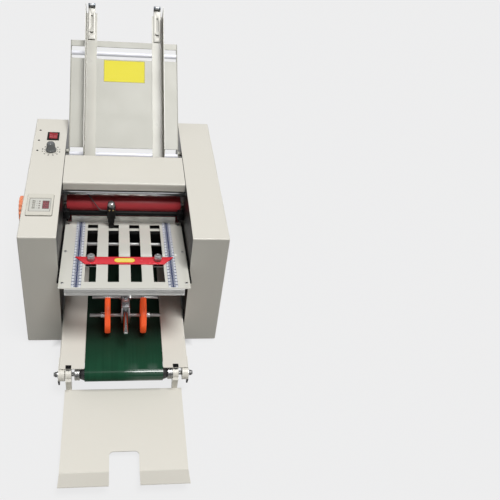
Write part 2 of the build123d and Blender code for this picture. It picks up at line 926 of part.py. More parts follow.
def tray_lower_plate(plane):
    top = -sheet - tray_gap
    end = tray_length + tray_bar_proud - tray_bar_depth
    plate = block(-tray_half, tray_half, tray_lower_start, end, top - sheet, top)
    for slot in tray_slots(tray_lower_slot, top - sheet, top):
        plate -= slot
    return plane * plate


# Spacer rails between the plates, brackets to the frame and the grooved end bar
def tray_rails(plane):
    top = -sheet
    end = tray_length + tray_bar_proud
    back = end - tray_bar_depth
    rail = block(tray_half - tray_rail_width, tray_half, tray_lower_start, back, top - tray_gap, top)
    for start, stop in (tray_bracket, tray_bracket_two):
        rail += block(tray_half, inner_x, start, stop, -tray_bracket_drop, top)
    end_bar = block(-tray_bar_half, tray_bar_half, back, end, top - tray_bar_height, top)
    for i in range(tray_bar_grooves):
        w = top - tray_bar_height * (i + 1) / (tray_bar_grooves + 1)
        end_bar -= bar(-tray_bar_half, tray_bar_half, end, w, tray_bar_groove)
    end_bar = end_bar - block(
        -tray_bar_half, tray_bar_half, back, end - tray_bar_groove - tray_bar_wall - tray_bar_web,
        top - tray_bar_height + tray_bar_wall, top - tray_bar_wall,
    )
    return Compound([plane * rail, plane * mirrored(rail), plane * end_bar])


def paper_stop(plane):
    base = seat_gap
    outline = make_face(Polyline(
        (-stop_half_rear, stop_rear), (stop_half_rear, stop_rear), (stop_half_front, stop_front),
        (-stop_half_front, stop_front), close=True,
    ))
    stop = extrude(Pos(0, 0, base) * outline, amount=stop_thick)
    for x in slot_middles:
        stop += block(
            x - stop_finger_half, x + stop_finger_half, stop_rear, stop_rear + stop_finger_thick,
            -stop_finger_drop, base + stop_thick / 2,
        )
    clamp_top = -2 * sheet - tray_gap - seat_gap
    for x in (slot_middles[0], slot_middles[3]):
        nut_base = base + stop_thick
        nut = post(x, stop_nut_t, nut_base, nut_base + stop_nut_height, stop_nut_radius)
        nut = chamfer(nut.edges().sort_by(Axis.Z)[-1], stop_nut_edge)
        stud_low, stud_high = clamp_top - stop_clamp_thick / 4, base + stop_thick / 2
        stop += nut + post(x, stop_nut_t, stud_low, stud_high, stop_stud_radius)
        stop += block(
            x - stop_clamp_half, x + stop_clamp_half, stop_nut_t - stop_clamp_length / 2,
            stop_nut_t + stop_clamp_length / 2, clamp_top - stop_clamp_thick, clamp_top,
        )
    return plane * stop


# Dark sheet that closes the gap under the fold rollers, below the sensor bar
def mouth_guard():
    return block(-inner_x, inner_x, guard_y, guard_y + guard_thick, guard_low_z, guard_high_z)


# ---- Counting sensor ----

def sensor_bar():
    end = inner_x - sensor_block_width
    rod = bar(-end, end, sensor_bar_y, sensor_bar_z, sensor_bar_radius)
    end_block = block(end, inner_x, *sensor_block_y, sensor_block_low, sensor_block_high)
    end_block = fillet(end_block.edges().filter_by(Axis.X), sensor_block_edge)
    return Compound([rod, end_block, mirrored(end_block), mouth_guard()])


def counter_sensor():
    left = sensor_x - sensor_half
    right = sensor_x + sensor_half
    body = block(left, right, *sensor_y, sensor_base_z, sensor_top_z)
    body = fillet(body.edges().filter_by(Axis.Z), sensor_edge)
    body -= bar(left, right, sensor_bar_y, sensor_bar_z, sensor_bar_radius)
    foot = block(
        sensor_x - sensor_foot_half, sensor_x + sensor_foot_half, *sensor_foot_y,
        sensor_foot_z, sensor_base_z,
    )
    middle = (sensor_y[0] + sensor_y[1]) / 2
    knob = post(sensor_x, middle, sensor_top_z, sensor_top_z + sensor_knob_height, sensor_knob_radius)
    return body + foot + chamfer(knob.edges().sort_by(Axis.Z)[-1], sensor_knob_edge)


def sensor_lead():
    start = Vector(-inner_x, cover_rod_y + lead_back, cover_rod_z - lead_drop)
    end = Vector(sensor_x - sensor_half, (sensor_y[0] + sensor_y[1]) / 2, sensor_top_z - lead_below_top)
    points = [start, start + Vector(lead_run, 0, 0), end - Vector(lead_entry, 0, 0), end]
    route = FilletPolyline(*points, radius=[lead_first_bend, lead_second_bend])
    section = Plane(origin=start, z_dir=(1, 0, 0)) * Circle(lead_radius)
    return sweep(section, path=route)


# ---- Delivery conveyor ----

def conveyor_side_rails():
    half = rail_thick / 2
    top = rail_top_z - half
    profile = [(rail_inner, top), (rail_outer - half, top), (rail_outer - half, rail_low_z)]
    outline = Plane.XZ * folded(profile, [rail_thick], rail_thick)
    rail = extrude(outline, amount=-(rail_back_y - rail_front_y))
    rail = Pos(0, rail_front_y, 0) * rail
    rail -= block(rail_inner, rail_outer, rail_front_y, ear_back_y, rail_low_z, rail_top_z - rail_thick)
    ear_top = rail_top_z - rail_thick
    ear = make_face(Polyline(
        (conveyor_front_y, conveyor_z + ear_radius), (ear_back_y - ear_shoulder, ear_top),
        (ear_back_y, ear_top),
        (ear_back_y, rail_low_z), (conveyor_front_y, conveyor_z - ear_radius), close=True,
    ))
    ear += Pos(conveyor_front_y, conveyor_z) * Circle(ear_radius)
    ear -= Pos(conveyor_front_y, conveyor_z) * Circle(conveyor_shaft_radius)
    rail += across(ear, rail_outer + ear_proud - ear_thick, rail_outer + ear_proud)
    tab_z = conveyor_z - ear_radius + ear_tab_root
    tab = make_face(Polyline(
        (conveyor_front_y - ear_tab_half, tab_z), (conveyor_front_y + ear_tab_half, tab_z),
        (conveyor_front_y, tab_z - ear_tab_drop), close=True,
    ))
    rail += across(tab, rail_outer + ear_proud - rail_thick, rail_outer + ear_proud)
    for y in rail_bosses:
        rail += bar(rail_outer - half, inner_x, y, rail_boss_z, rail_boss_radius)
    rail -= bar(rail_inner, rail_outer, conveyor_rear_y, conveyor_z, journal_radius + 1)
    inner = rail_outer - rail_thick
    bed_top = conveyor_z + conveyor_roller_radius - bed_sink
    bed = block(-inner, inner, bed_front_y, bed_back_y, bed_top - bed_thick, bed_top)
    return Compound([rail, mirrored(rail), bed])


def conveyor_belt():
    inner = conveyor_roller_radius + conveyor_belt_gap
    length = conveyor_rear_y - conveyor_front_y
    middle = (conveyor_rear_y + conveyor_front_y) / 2
    outer_loop = SlotCenterToCenter(length, 2 * (inner + conveyor_belt_thick))
    inner_loop = SlotCenterToCenter(length, 2 * inner)
    outline = Pos(middle, conveyor_z) * (outer_loop - inner_loop)
    return across(outline, -conveyor_belt_half, conveyor_belt_half)


# Roller with tapered ends that keep the belt on its track
def conveyor_roller(y):
    half = conveyor_roller_half
    outline = make_face(Polyline(
        (-half, 0), (-half, conveyor_taper_radius), (-half + conveyor_taper_length, conveyor_roller_radius),
        (half - conveyor_taper_length, conveyor_roller_radius), (half, conveyor_taper_radius), (half, 0),
        close=True,
    ))
    return Pos(0, y, conveyor_z) * revolve(outline, Axis.X)


def conveyor_front_roller():
    roller = conveyor_roller(conveyor_front_y)
    bore = conveyor_shaft_radius + run_gap
    return roller - bar(-rail_outer, rail_outer, conveyor_front_y, conveyor_z, bore)


def conveyor_rear_roller():
    end = lane_one + belt_width + shaft_tip
    shaft = bar(-plate_x - lane_gap, end, conveyor_rear_y, conveyor_z, journal_radius)
    wheel = pulley(lane_one, conveyor_rear_y, conveyor_z, delivery_pulley_radius)
    return conveyor_roller(conveyor_rear_y) + shaft + wheel


def front_roller_shaft():
    y = conveyor_front_y
    z = conveyor_z
    shaft = bar(-conveyor_shaft_half, conveyor_shaft_half, y, z, conveyor_shaft_radius)
    start = conveyor_roller_half + seat_gap
    collar = bar(start, start + conveyor_collar_length, y, z, conveyor_collar_radius)
    shaft += both_sides(chamfer(collar.edges(), conveyor_collar_edge))
    face = rail_outer + ear_proud
    washer = bar(face, face + conveyor_washer_thick, y, z, conveyor_washer_radius)
    hexagon = Pos(y, z) * RegularPolygon(conveyor_nut_radius, 6)
    nut_start = face + conveyor_washer_thick
    nut = across(hexagon, nut_start, nut_start + conveyor_nut_length)
    return shaft + both_sides(washer + nut)


# ---- Exit wheels ----

def centre_rod():
    y = tray_rod_y
    z = tray_rod_z
    front = y - hanger_depth / 2
    rod = Pos(carriage_x, centre_rod_tip_y, centre_rod_z) * Rot(-90, 0, 0) * Cylinder(
        centre_rod_radius, front - centre_rod_tip_y, align=upright
    )
    outline = make_face(Polyline(
        (front, centre_rod_z - hanger_boss), (y + hanger_depth / 2, centre_rod_z - hanger_boss),
        (y + hanger_boss, z), (y - hanger_boss, z), close=True,
    ))
    outline += Pos(y, z) * Circle(hanger_boss)
    outline -= Pos(y, z) * Circle(tie_radius)
    hanger = across(outline, carriage_x - hanger_half, carriage_x + hanger_half)
    return Compound([rod, hanger])


def wheel_carriage():
    left = carriage_x - block_half
    right = carriage_x + block_half
    body = block(left, right, *block_y, *block_z)
    body = fillet(body.edges().filter_by(Axis.Y), block_edge)
    bore = Pos(carriage_x, block_y[0], centre_rod_z) * Rot(-90, 0, 0) * Cylinder(
        centre_rod_radius + run_gap, block_y[1] - block_y[0], align=upright
    )
    fork_outline = make_face(Polyline(
        (fork_y[0], fork_low_z + fork_corner), (fork_y[0] + fork_corner, fork_low_z),
        (fork_y[1] - fork_corner, fork_low_z), (fork_y[1], fork_low_z + fork_corner),
        (fork_y[1], block_z[1] - fork_corner), (block_y[0], block_z[1] - fork_corner),
        (fork_y[0], block_z[0] + fork_shoulder), close=True,
    ))
    fork_outline -= Pos(exit_shaft_y, exit_shaft_z) * Circle(exit_shaft_radius + run_gap)
    for start in (left, right - fork_thick):
        body += across(fork_outline, start, start + fork_thick)
    body -= bar(left, right, exit_shaft_y, exit_shaft_z, exit_shaft_radius + run_gap)
    body -= bore
    left_rod = bar(carriage_x - cross_rod_half, left, cross_rod_y, cross_rod_z, cross_rod_radius)
    right_rod = bar(right, carriage_x + cross_rod_half, cross_rod_y, cross_rod_z, cross_rod_radius)
    screw = post(carriage_x, clamp_screw_y, block_z[1], block_z[1] + clamp_screw_height, clamp_screw_radius)
    screw = chamfer(screw.edges().sort_by(Axis.Z)[-1], clamp_screw_edge)
    return Compound([body, left_rod, right_rod, screw])


def exit_wheels():
    wheels = []
    for side in (-1, 1):
        middle = carriage_x + side * exit_wheel_offset
        start = middle - exit_wheel_width / 2
        end = middle + exit_wheel_width / 2
        wheel = bar(start, end, exit_shaft_y, exit_shaft_z, exit_wheel_radius)
        wheel = fillet(wheel.edges(), exit_wheel_edge)
        for x0, x1 in ((start, start + exit_wheel_dish), (end - exit_wheel_dish, end)):
            dish = bar(x0, x1, exit_shaft_y, exit_shaft_z, exit_wheel_radius - exit_wheel_rim)
            wheel -= dish - bar(x0, x1, exit_shaft_y, exit_shaft_z, exit_collar_radius + exit_wheel_hub)
        wheels.append(wheel - bar(start, end, exit_shaft_y, exit_shaft_z, exit_shaft_radius))
    return Compound(wheels)


def exit_wheel_shaft():
    shaft = bar(exit_shaft_left, exit_shaft_right, exit_shaft_y, exit_shaft_z, exit_shaft_radius)
    for side in (-1, 1):
        face = carriage_x + side * (exit_wheel_offset + exit_wheel_width / 2)
        far = face + side * exit_collar_length
        shaft += bar(min(face, far), max(face, far), exit_shaft_y, exit_shaft_z, exit_collar_radius)
    return shaft


# ---- Receiving tray ----

def receiving_tray():
    half = sheet / 2
    points = [
        (receive_back_y, receive_plate_z - half), (receive_bend_y, receive_plate_z - half),
        (receive_lip_y, receive_lip_z - half),
    ]
    plate = across(folded(points, [receive_bend_radius], sheet), -receive_half, receive_half)
    length = 2 * (receive_notch_y - receive_lip_y) + 2 * receive_notch_beyond
    notch = RectangleRounded(2 * receive_notch_half, length, receive_corner)
    cut = extrude(Pos(0, receive_lip_y - receive_notch_beyond, 0) * notch, amount=box_top)
    plate -= cut
    flange = block(
        receive_half - sheet, receive_half, receive_flange_start, receive_back_y,
        receive_plate_z - receive_flange, receive_plate_z,
    )
    return plate + both_sides(flange)


def receiving_tray_hooks():
    centre = (conveyor_front_y, conveyor_z)
    leaf_top = receive_plate_z - sheet
    outline = make_face(Polyline(
        (conveyor_front_y - hook_radius, conveyor_z),
        (receive_back_y - hook_leaf, leaf_top), (receive_back_y - hook_leaf, leaf_top - hook_leaf_thick),
        (conveyor_front_y - hook_nose, leaf_top - hook_leaf_thick),
        (conveyor_front_y + hook_radius - hook_heel, conveyor_z - hook_heel_drop),
        close=True,
    ))
    clearance = make_face(Polyline(
        (conveyor_front_y - hook_radius - hook_clearance, conveyor_z - hook_heel),
        (receive_back_y, receive_plate_z + hook_clearance_rise), (receive_back_y, leaf_top),
        (receive_back_y - hook_leaf - hook_clearance, leaf_top),
        (receive_back_y - hook_leaf - hook_clearance, conveyor_z),
        close=True,
    ))
    outline = outline - clearance + Pos(*centre) * Circle(hook_radius)
    outline -= Pos(*centre) * Circle(conveyor_shaft_radius + run_gap)
    left = across(outline, -hook_left, -hook_left + hook_width)
    return Compound([left, across(outline, hook_right, hook_right + hook_width)])


def receiving_tray_feet():
    foot = Pos(receive_foot_x, receive_foot_y, receive_plate_z - sheet) * Rot(180, 0, 0) * Cone(
        receive_foot_radius, receive_foot_radius - receive_foot_taper, receive_plate_z - sheet, align=upright
    )
    return both_sides(foot)


# ---- Controls ----

def counter_housing():
    middle = (counter_x[0] + counter_x[1]) / 2
    half = counter_body / 2
    bezel = block(*counter_x, *counter_y, box_top, box_top + counter_bezel)
    bezel = fillet(bezel.edges().filter_by(Axis.Z), counter_corner)
    bezel = fillet(bezel.faces().sort_by(Axis.Z)[-1].edges(), counter_edge)
    top = box_top + counter_bezel
    bezel -= block(*counter_face_x, *counter_face_y, top - counter_face_recess, top)
    floor = top - counter_face_recess
    for y in button_places():
        reach = button_size / 2 + button_gap
        bezel -= block(button_x - reach, button_x + reach, y - reach, y + reach, floor - button_pocket, top)
    bezel -= block(*display_x, *display_y, floor - display_thick, top)
    body = block(
        middle - half, middle + half, counter_body_y - half, counter_body_y + half,
        box_top - counter_body_depth, box_top,
    )
    return bezel + body


def counter_display():
    floor = box_top + counter_bezel - counter_face_recess
    return block(*display_x, *display_y, floor - display_thick, floor)


def button_places():
    return [button_first_y + i * button_pitch for i in range(button_count)]


def counter_button(index):
    y = button_places()[index]
    floor = box_top + counter_bezel - counter_face_recess
    half = button_size / 2
    low_z = floor - button_pocket + button_travel + button_gap
    button = block(button_x - half, button_x + half, y - half, y + half, low_z, floor + button_proud)
    return fillet(button.faces().sort_by(Axis.Z)[-1].edges(), button_edge)


def switch_housing():
    half_x = switch_bezel_x / 2
    half_y = switch_bezel_y / 2
    top = box_top + switch_bezel
    bezel = block(switch_x - half_x, switch_x + half_x, switch_y - half_y, switch_y + half_y, box_top, top)
    bezel = fillet(bezel.faces().sort_by(Axis.Z)[-1].edges(), switch_edge)
    inset = switch_rim / 2 + seat_gap
    body = block(
        switch_x - half_x + inset, switch_x + half_x - inset, switch_y - half_y + inset,
        switch_y + half_y - inset, box_top - switch_body_depth, box_top,
    )
    pocket = block(
        switch_x - half_x + switch_rim, switch_x + half_x - switch_rim,
        switch_y - half_y + switch_rim, switch_y + half_y - switch_rim,
        top - rocker_pivot_drop - rocker_radius - rocker_play, top,
    )
    return bezel + body - pocket


# The rocker's middle section is part of a disc about its pivot with a shallow V on top
def rocker():
    half_y = switch_bezel_y / 2 - switch_rim - seat_gap
    reach = 2 * rocker_radius
    rise = reach * tan(radians(rocker_tilt))
    wedge = make_face(Polyline(
        (0, rocker_rise), (reach, rocker_rise + rise), (reach, -reach), (-reach, -reach),
        (-reach, rocker_rise + rise), close=True,
    ))
    outline = Rot(0, 0, -rocker_tilt) * (Circle(rocker_radius) & wedge)
    pivot_z = box_top + switch_bezel - rocker_pivot_drop
    plane = Plane(origin=(switch_x, switch_y + half_y, pivot_z), x_dir=(1, 0, 0), z_dir=(0, -1, 0))
    return extrude(plane * outline, amount=2 * half_y)


def speed_potentiometer():
    neck_top = box_top + knob_lift - seat_gap
    body_top = box_top - sheet - pot_seat
    body = post(knob_x, knob_y, body_top - pot_body_depth, body_top, pot_body_radius)
    body += post(knob_x, knob_y, body_top, neck_top, pot_neck_radius)
    body += post(knob_x, knob_y, body_top, box_top - sheet, pot_neck_radius + pot_collar)
    return body - post(knob_x, knob_y, body_top - pot_socket, neck_top, knob_shaft_radius + run_gap)


def speed_knob():
    base = box_top + knob_lift
    outline = make_face(Polyline(
        (0, 0), (knob_skirt_radius, 0), (knob_skirt_radius, knob_skirt_height - knob_skirt_slope),
        (knob_top_radius + knob_taper, knob_skirt_height), (knob_top_radius, knob_height - knob_edge),
        (knob_top_radius - knob_edge, knob_height), (0, knob_height), close=True,
    ))
    knob = revolve(Plane.XZ * outline, Axis.Z)
    knob = Pos(knob_x, knob_y, base) * knob
    for i in range(knob_flutes):
        x, y = polar((knob_x, knob_y), knob_flute_place, i * 360 / knob_flutes)
        knob -= post(x, y, base + knob_skirt_height, base + knob_height, knob_flute_radius)
    shaft_low = box_top - sheet - pot_seat - pot_socket + seat_gap
    return knob + post(knob_x, knob_y, shaft_low, base, knob_shaft_radius)


def power_inlet():
    half_x = inlet_body_x / 2
    half_z = inlet_body_z / 2
    flange = block(
        inlet_x - inlet_flange_x / 2, inlet_x + inlet_flange_x / 2, box_depth, box_depth + inlet_flange,
        inlet_z - inlet_flange_z / 2, inlet_z + inlet_flange_z / 2,
    )
    flange = fillet(flange.edges().filter_by(Axis.Y), inlet_corner)
    start = box_depth - inlet_depth
    body = block(inlet_x - half_x, inlet_x + half_x, start, box_depth, inlet_z - half_z, inlet_z + half_z)
    half_x -= inlet_wall
    half_z -= inlet_wall
    mouth = block(
        inlet_x - half_x, inlet_x + half_x, start + inlet_wall, box_depth + inlet_flange,
        inlet_z - half_z, inlet_z + half_z,
    )
    mouth = chamfer(mouth.edges().filter_by(Axis.Y).sort_by(Axis.Z)[-2:], inlet_chamfer)
    inlet = flange + body - mouth
    pin_end = start + inlet_wall + inlet_pin_depth
    for x, z in inlet_pins:
        inlet += block(
            inlet_x + x - inlet_pin_half_x, inlet_x + x + inlet_pin_half_x, start, pin_end,
            inlet_z + z - inlet_pin_half_z, inlet_z + z + inlet_pin_half_z,
        )
    return inlet


pieces = {
    "left_frame_plate": left_frame_plate(),
    "right_frame_plate": right_frame_plate(),
    "left_side_cover": left_side_cover(),
    "right_side_cover": right_side_cover(),
    "rubber_feet": rubber_feet(),
    "tie_rods": tie_rods(),
    "roller_bearings": roller_bearings(),
    "roller_cover": roller_cover(),
    "drive_belts": drive_belts(),
    "motor": motor(),
    "motor_pulley": motor_pulley(),
    "hand_wheel": hand_wheel(),
    "feed_roller": feed_roller(),
    "separator_block": separator_block(),
    "feed_board": feed_board(),
    "right_paper_guide": paper_guide(),
    "left_paper_guide": mirrored(paper_guide()),
    "right_guide_extension": guide_extension(),
    "left_guide_extension": mirrored(guide_extension()),
    "front_tray_top_plate": front_tray_top_plate(),
    "front_tray_lower_plate": tray_lower_plate(front_tray_plane),
    "front_tray_rails": tray_rails(front_tray_plane),
    "front_paper_stop": paper_stop(front_tray_plane),
    "rear_tray_plates": Compound([tray_top_plate(rear_tray_plane), tray_lower_plate(rear_tray_plane)]),
    "rear_tray_rails": tray_rails(rear_tray_plane),
    "rear_paper_stop": paper_stop(rear_tray_plane),
    "sensor_bar": sensor_bar(),
    "counter_sensor": counter_sensor(),
    "sensor_lead": sensor_lead(),
    "conveyor_side_rails": conveyor_side_rails(),
    "conveyor_belt": conveyor_belt(),
    "conveyor_front_roller": conveyor_front_roller(),
    "conveyor_rear_roller": conveyor_rear_roller(),
    "front_roller_shaft": front_roller_shaft(),
    "centre_rod": centre_rod(),
    "wheel_carriage": wheel_carriage(),
    "exit_wheels": exit_wheels(),
    "exit_wheel_shaft": exit_wheel_shaft(),
    "receiving_tray": receiving_tray(),
    "receiving_tray_hooks": receiving_tray_hooks(),
    "receiving_tray_feet": receiving_tray_feet(),
    "counter_housing": counter_housing(),
    "counter_display": counter_display(),
    "switch_housing": switch_housing(),
    "rocker": rocker(),
    "speed_potentiometer": speed_potentiometer(),
    "speed_knob": speed_knob(),
    "power_inlet": power_inlet(),
}
for i in range(4):
    pieces["fold_roller_%d" % (i + 1)] = fold_roller(i)
    pieces["fold_gear_%d" % (i + 1)] = fold_gear(i)
for i in range(button_count):
    pieces["counter_button_%d" % (i + 1)] = counter_button(i)

os.makedirs("parts", exist_ok=True)
for name, shape in pieces.items():
    export_step(Pos(-origin_x, -origin_y, 0) * shape, "parts/%s.step" % name)
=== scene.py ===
import bpy
import bmesh
from math import atan2, cos, hypot, pi, radians, sin, sqrt, tan
from mathutils import Matrix, Vector


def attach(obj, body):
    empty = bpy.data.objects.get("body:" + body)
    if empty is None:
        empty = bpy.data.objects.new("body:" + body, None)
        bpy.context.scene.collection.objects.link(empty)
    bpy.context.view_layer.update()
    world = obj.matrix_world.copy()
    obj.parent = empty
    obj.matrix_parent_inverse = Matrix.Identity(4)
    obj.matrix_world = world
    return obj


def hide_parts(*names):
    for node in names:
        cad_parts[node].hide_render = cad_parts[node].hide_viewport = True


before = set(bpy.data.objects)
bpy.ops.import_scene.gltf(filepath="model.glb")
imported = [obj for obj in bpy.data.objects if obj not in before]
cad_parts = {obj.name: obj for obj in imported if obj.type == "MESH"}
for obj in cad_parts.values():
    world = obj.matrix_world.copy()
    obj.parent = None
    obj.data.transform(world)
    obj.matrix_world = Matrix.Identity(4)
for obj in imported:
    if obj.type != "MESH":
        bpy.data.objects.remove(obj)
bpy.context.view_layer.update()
scene = bpy.context.scene
print("frame loaded")

# Sizes below are in millimetres in the machine's own axes: X right, Y back, Z up, with Y 0 at
# the front of the side boxes. toFrame brings them into the frame, in metres.
frameShift = (0.012, -0.12318, 0)
toFrame = Matrix.Translation(frameShift) @ Matrix.Scale(0.001, 4)


# Small shader language

# Operator of a wire with a wire or a number; reflected where the number comes first
def maths(operation, reflected=False):
    def combine(wire, *others):
        values = (*others, wire) if reflected else (wire, *others)
        return wire.graph.node("ShaderNodeMath", {"operation": operation}, dict(enumerate(values)))
    return combine


# A socket that can stand in sums
class Wire:
    def __init__(self, graph, socket):
        self.graph = graph
        self.socket = socket

    __add__ = maths("ADD")
    __radd__ = maths("ADD", True)
    __sub__ = maths("SUBTRACT")
    __rsub__ = maths("SUBTRACT", True)
    __mul__ = maths("MULTIPLY")
    __rmul__ = maths("MULTIPLY", True)
    __gt__ = maths("GREATER_THAN")
    __lt__ = maths("LESS_THAN")
    largest = maths("MAXIMUM")
    size = maths("ABSOLUTE")
    pingPong = maths("PINGPONG")


class Graph:
    def __init__(self, tree):
        self.tree = tree

    def node(self, kind, settings=None, inputs=None, output=0):
        made = self.tree.nodes.new(kind)
        for name, value in (settings or {}).items():
            if name == "stops":
                ramp = made.color_ramp.elements
                while len(ramp) < len(value):
                    ramp.new(0.5)
                for stop, (place, shade) in zip(ramp, value):
                    stop.position = place
                    stop.color = (*shade, 1)
            else:
                setattr(made, name, value)
        shown = [socket for socket in made.inputs if socket.enabled]
        for key, value in (inputs or {}).items():
            socket = shown[key] if isinstance(key, int) else next(s for s in shown if s.name == key)
            self.feed(socket, value)
        if isinstance(output, str):
            return Wire(self, made.outputs[output])
        return Wire(self, [socket for socket in made.outputs if socket.enabled][output])

    def feed(self, socket, value):
        if isinstance(value, Wire):
            self.tree.links.new(value.socket, socket)
        elif socket.type == "RGBA":
            socket.default_value = (*value, 1)
        else:
            socket.default_value = value

    def mixed(self, amount, first, second):
        return self.node(
            "ShaderNodeMix", {"data_type": "RGBA", "blend_type": "MIX"},
            {"Factor": amount, "A": first, "B": second},
        )

    # One coordinate, of a Texture Coordinate output or of a vector
    def axis(self, index, source="Object"):
        vector = source if isinstance(source, Wire) else self.node("ShaderNodeTexCoord", output=source)
        return self.node("ShaderNodeSeparateXYZ", {}, {"Vector": vector}, index)

    def fade(self, value, start, end):
        return self.node("ShaderNodeMapRange", {}, {"Value": value, "From Min": start, "From Max": end})


class Finish(Graph):
    def __init__(self, name, colour, roughness=0.5, metallic=0.0, **constants):
        self.material = bpy.data.materials.new(name)
        self.material.use_nodes = True
        super().__init__(self.material.node_tree)
        self.shader = self.tree.nodes["Principled BSDF"]
        self.set("Base Color", colour)
        self.set("Roughness", roughness)
        self.set("Metallic", metallic)
        for key, value in constants.items():
            self.set(key.replace("_", " "), value)

    def set(self, socket, value):
        self.feed(self.shader.inputs[socket], value)

    def place(self, stretch=(1, 1, 1), turn=(0, 0, 0)):
        spot = self.node("ShaderNodeTexCoord", output="Object")
        return self.node("ShaderNodeMapping", {}, {"Vector": spot, "Scale": stretch, "Rotation": turn})

    def noise(self, scale, detail=3.0, where=None):
        return self.node(
            "ShaderNodeTexNoise", {}, {"Vector": where or self.place(), "Scale": scale, "Detail": detail}
        )

    def bump(self, height, distance, strength=0.5):
        self.set("Normal", self.node(
            "ShaderNodeBump", {}, {"Height": height, "Distance": distance, "Strength": strength}
        ))

    # Gloss that wanders by spread around one roughness
    def uneven(self, pattern, roughness, spread):
        self.set("Roughness", pattern * spread + (roughness - spread / 2))

    # Distance to either side of the machine's middle, in metres
    def sideways(self):
        return (self.axis(0) - frameShift[0]).size()


# Finishes

coat = {
    "drift": 7, "warmth": (1, 0.995, 0.975), "gloss": 28, "spread": 0.14, "peel": 850, "fine": (2600, 0.35),
}
streak = {"detail": 4, "clouds": 40}
mould = {"patches": (60, 9), "gloss": 120, "spread": 0.16}


# Powder coat: a fine orange peel, a faint drift of colour and slightly uneven gloss
def powderCoat(name, colour, roughness=0.34, drift=0.03, peel=0.00004, **constants):
    finish = Finish(name, colour, roughness, **constants)
    warm = tuple(channel * (1 - drift) * share for channel, share in zip(colour, coat["warmth"]))
    finish.set("Base Color", finish.mixed(finish.noise(coat["drift"], 4), colour, warm))
    finish.uneven(finish.noise(coat["gloss"]), roughness, coat["spread"])
    fineScale, fineShare = coat["fine"]
    finish.bump(finish.noise(coat["peel"], 2) + finish.noise(fineScale, 1) * fineShare, peel, 0.6)
    return finish


# Metal worked in one direction: the streaks run along the axis with the smallest stretch
def workedMetal(name, colour, roughness, stretch, grain=0.12, depth=0.000015, drift=0.12, metallic=1.0,
                **constants):
    finish = Finish(name, colour, roughness, metallic, **constants)
    streaks = finish.noise(1, streak["detail"], finish.place(stretch))
    dull = tuple(channel * (1 - drift) for channel in colour)
    finish.set("Base Color", finish.mixed(finish.noise(streak["clouds"], streak["detail"]), colour, dull))
    finish.uneven(streaks, roughness, grain)
    finish.bump(streaks, depth)
    return finish


# Moulded plastic or rubber: a fine grain and dust in the hollows
def moulded(name, colour, roughness, grain=1400, depth=0.00003, dust=0.02, **constants):
    finish = Finish(name, colour, roughness, **constants)
    pale = tuple(channel + dust for channel in colour)
    small, wide = mould["patches"]
    finish.set("Base Color", finish.mixed(finish.noise(small, 5) * finish.noise(wide, 2), colour, pale))
    finish.uneven(finish.noise(mould["gloss"]), roughness, mould["spread"])
    finish.bump(finish.noise(grain, 2), depth)
    return finish


cream = powderCoat("creamPaint", (0.728, 0.706, 0.652))
trayPaint = powderCoat(
    "trayPaint", (0.72, 0.715, 0.665), 0.24, 0.02, 0.00001, Coat_Weight=1.0, Coat_Roughness=0.05, Coat_IOR=1.9
)
# Feed board: the cream paint made darker, painted shade for the sloping board
boardPaint = powderCoat("boardPaint", (0.475, 0.472, 0.425), 0.4)
guidePaint = powderCoat("guidePaint", (0.60, 0.585, 0.525), 0.3)
motorGrey = powderCoat("motorGrey", (0.13, 0.13, 0.14), 0.45)
stopRed = powderCoat("stopRed", (0.70, 0.026, 0.042), 0.26, 0.10, 0.00002)

# Dark grey lower sheet: its darkness is painted shade under the top plate
lowerSheet = workedMetal("lowerSheet", (0.22, 0.22, 0.22), 0.4, (900, 30, 30), metallic=0.3)
plateSteel = workedMetal("plateSteel", (0.045, 0.045, 0.044), 0.4, (8, 160, 8), 0.14, metallic=0.85)
darkSteel = workedMetal("darkSteel", (0.09, 0.09, 0.09), 0.35, (300, 300, 300), 0.2, metallic=0.6)
chrome = workedMetal("chrome", (0.52, 0.53, 0.54), 0.2, (6, 500, 500), 0.04, 0.0000005, 0.05)
# The pale guide rods glow faintly: painted light that lifts their shaded undersides
paleRod = workedMetal(
    "paleRod", (0.80, 0.80, 0.86), 0.36, (6, 500, 500), 0.08, 0.000003, 0.04, 0.1,
    Emission_Color=(0.9, 0.93, 1.0), Emission_Strength=0.2,
)
wornRod = workedMetal("wornRod", (0.36, 0.36, 0.355), 0.4, (6, 300, 300), 0.1, 0.0000005, 0.05, 0.7)
knurledSteel = workedMetal("knurledSteel", (0.42, 0.42, 0.42), 0.22, (300, 300, 300))
turnedSteel = workedMetal("turnedSteel", (0.30, 0.30, 0.295), 0.3, (1200, 6, 6))
gearSteel = workedMetal("gearSteel", (0.48, 0.48, 0.47), 0.34, (900, 40, 40))
zinc = workedMetal("zinc", (0.56, 0.57, 0.58), 0.3, (300, 300, 300), 0.16)
bronze = workedMetal("bronze", (0.60, 0.40, 0.18), 0.36, (900, 40, 40))
brass = workedMetal("brass", (0.78, 0.60, 0.28), 0.28, (400, 400, 400))
barAluminium = workedMetal("barAluminium", (0.46, 0.46, 0.45), 0.36, (5, 900, 900), 0.16, metallic=0.5)
stripMetal = workedMetal("stripMetal", (0.42, 0.41, 0.38), 0.42, (500, 6, 6), 0.1, metallic=0.3)
tipMetal = workedMetal("tipMetal", (0.10, 0.12, 0.14), 0.3, (300, 300, 300), 0.1, metallic=0.5)
castAlloy = workedMetal("castAlloy", (0.50, 0.51, 0.52), 0.42, (700, 700, 700), 0.3, 0.00012, 0.35)
blackOxide = workedMetal(
    "blackOxide", (0.006, 0.006, 0.0065), 0.45, (200, 60, 200), 0.16, metallic=0.0, Specular_IOR_Level=0.12
)

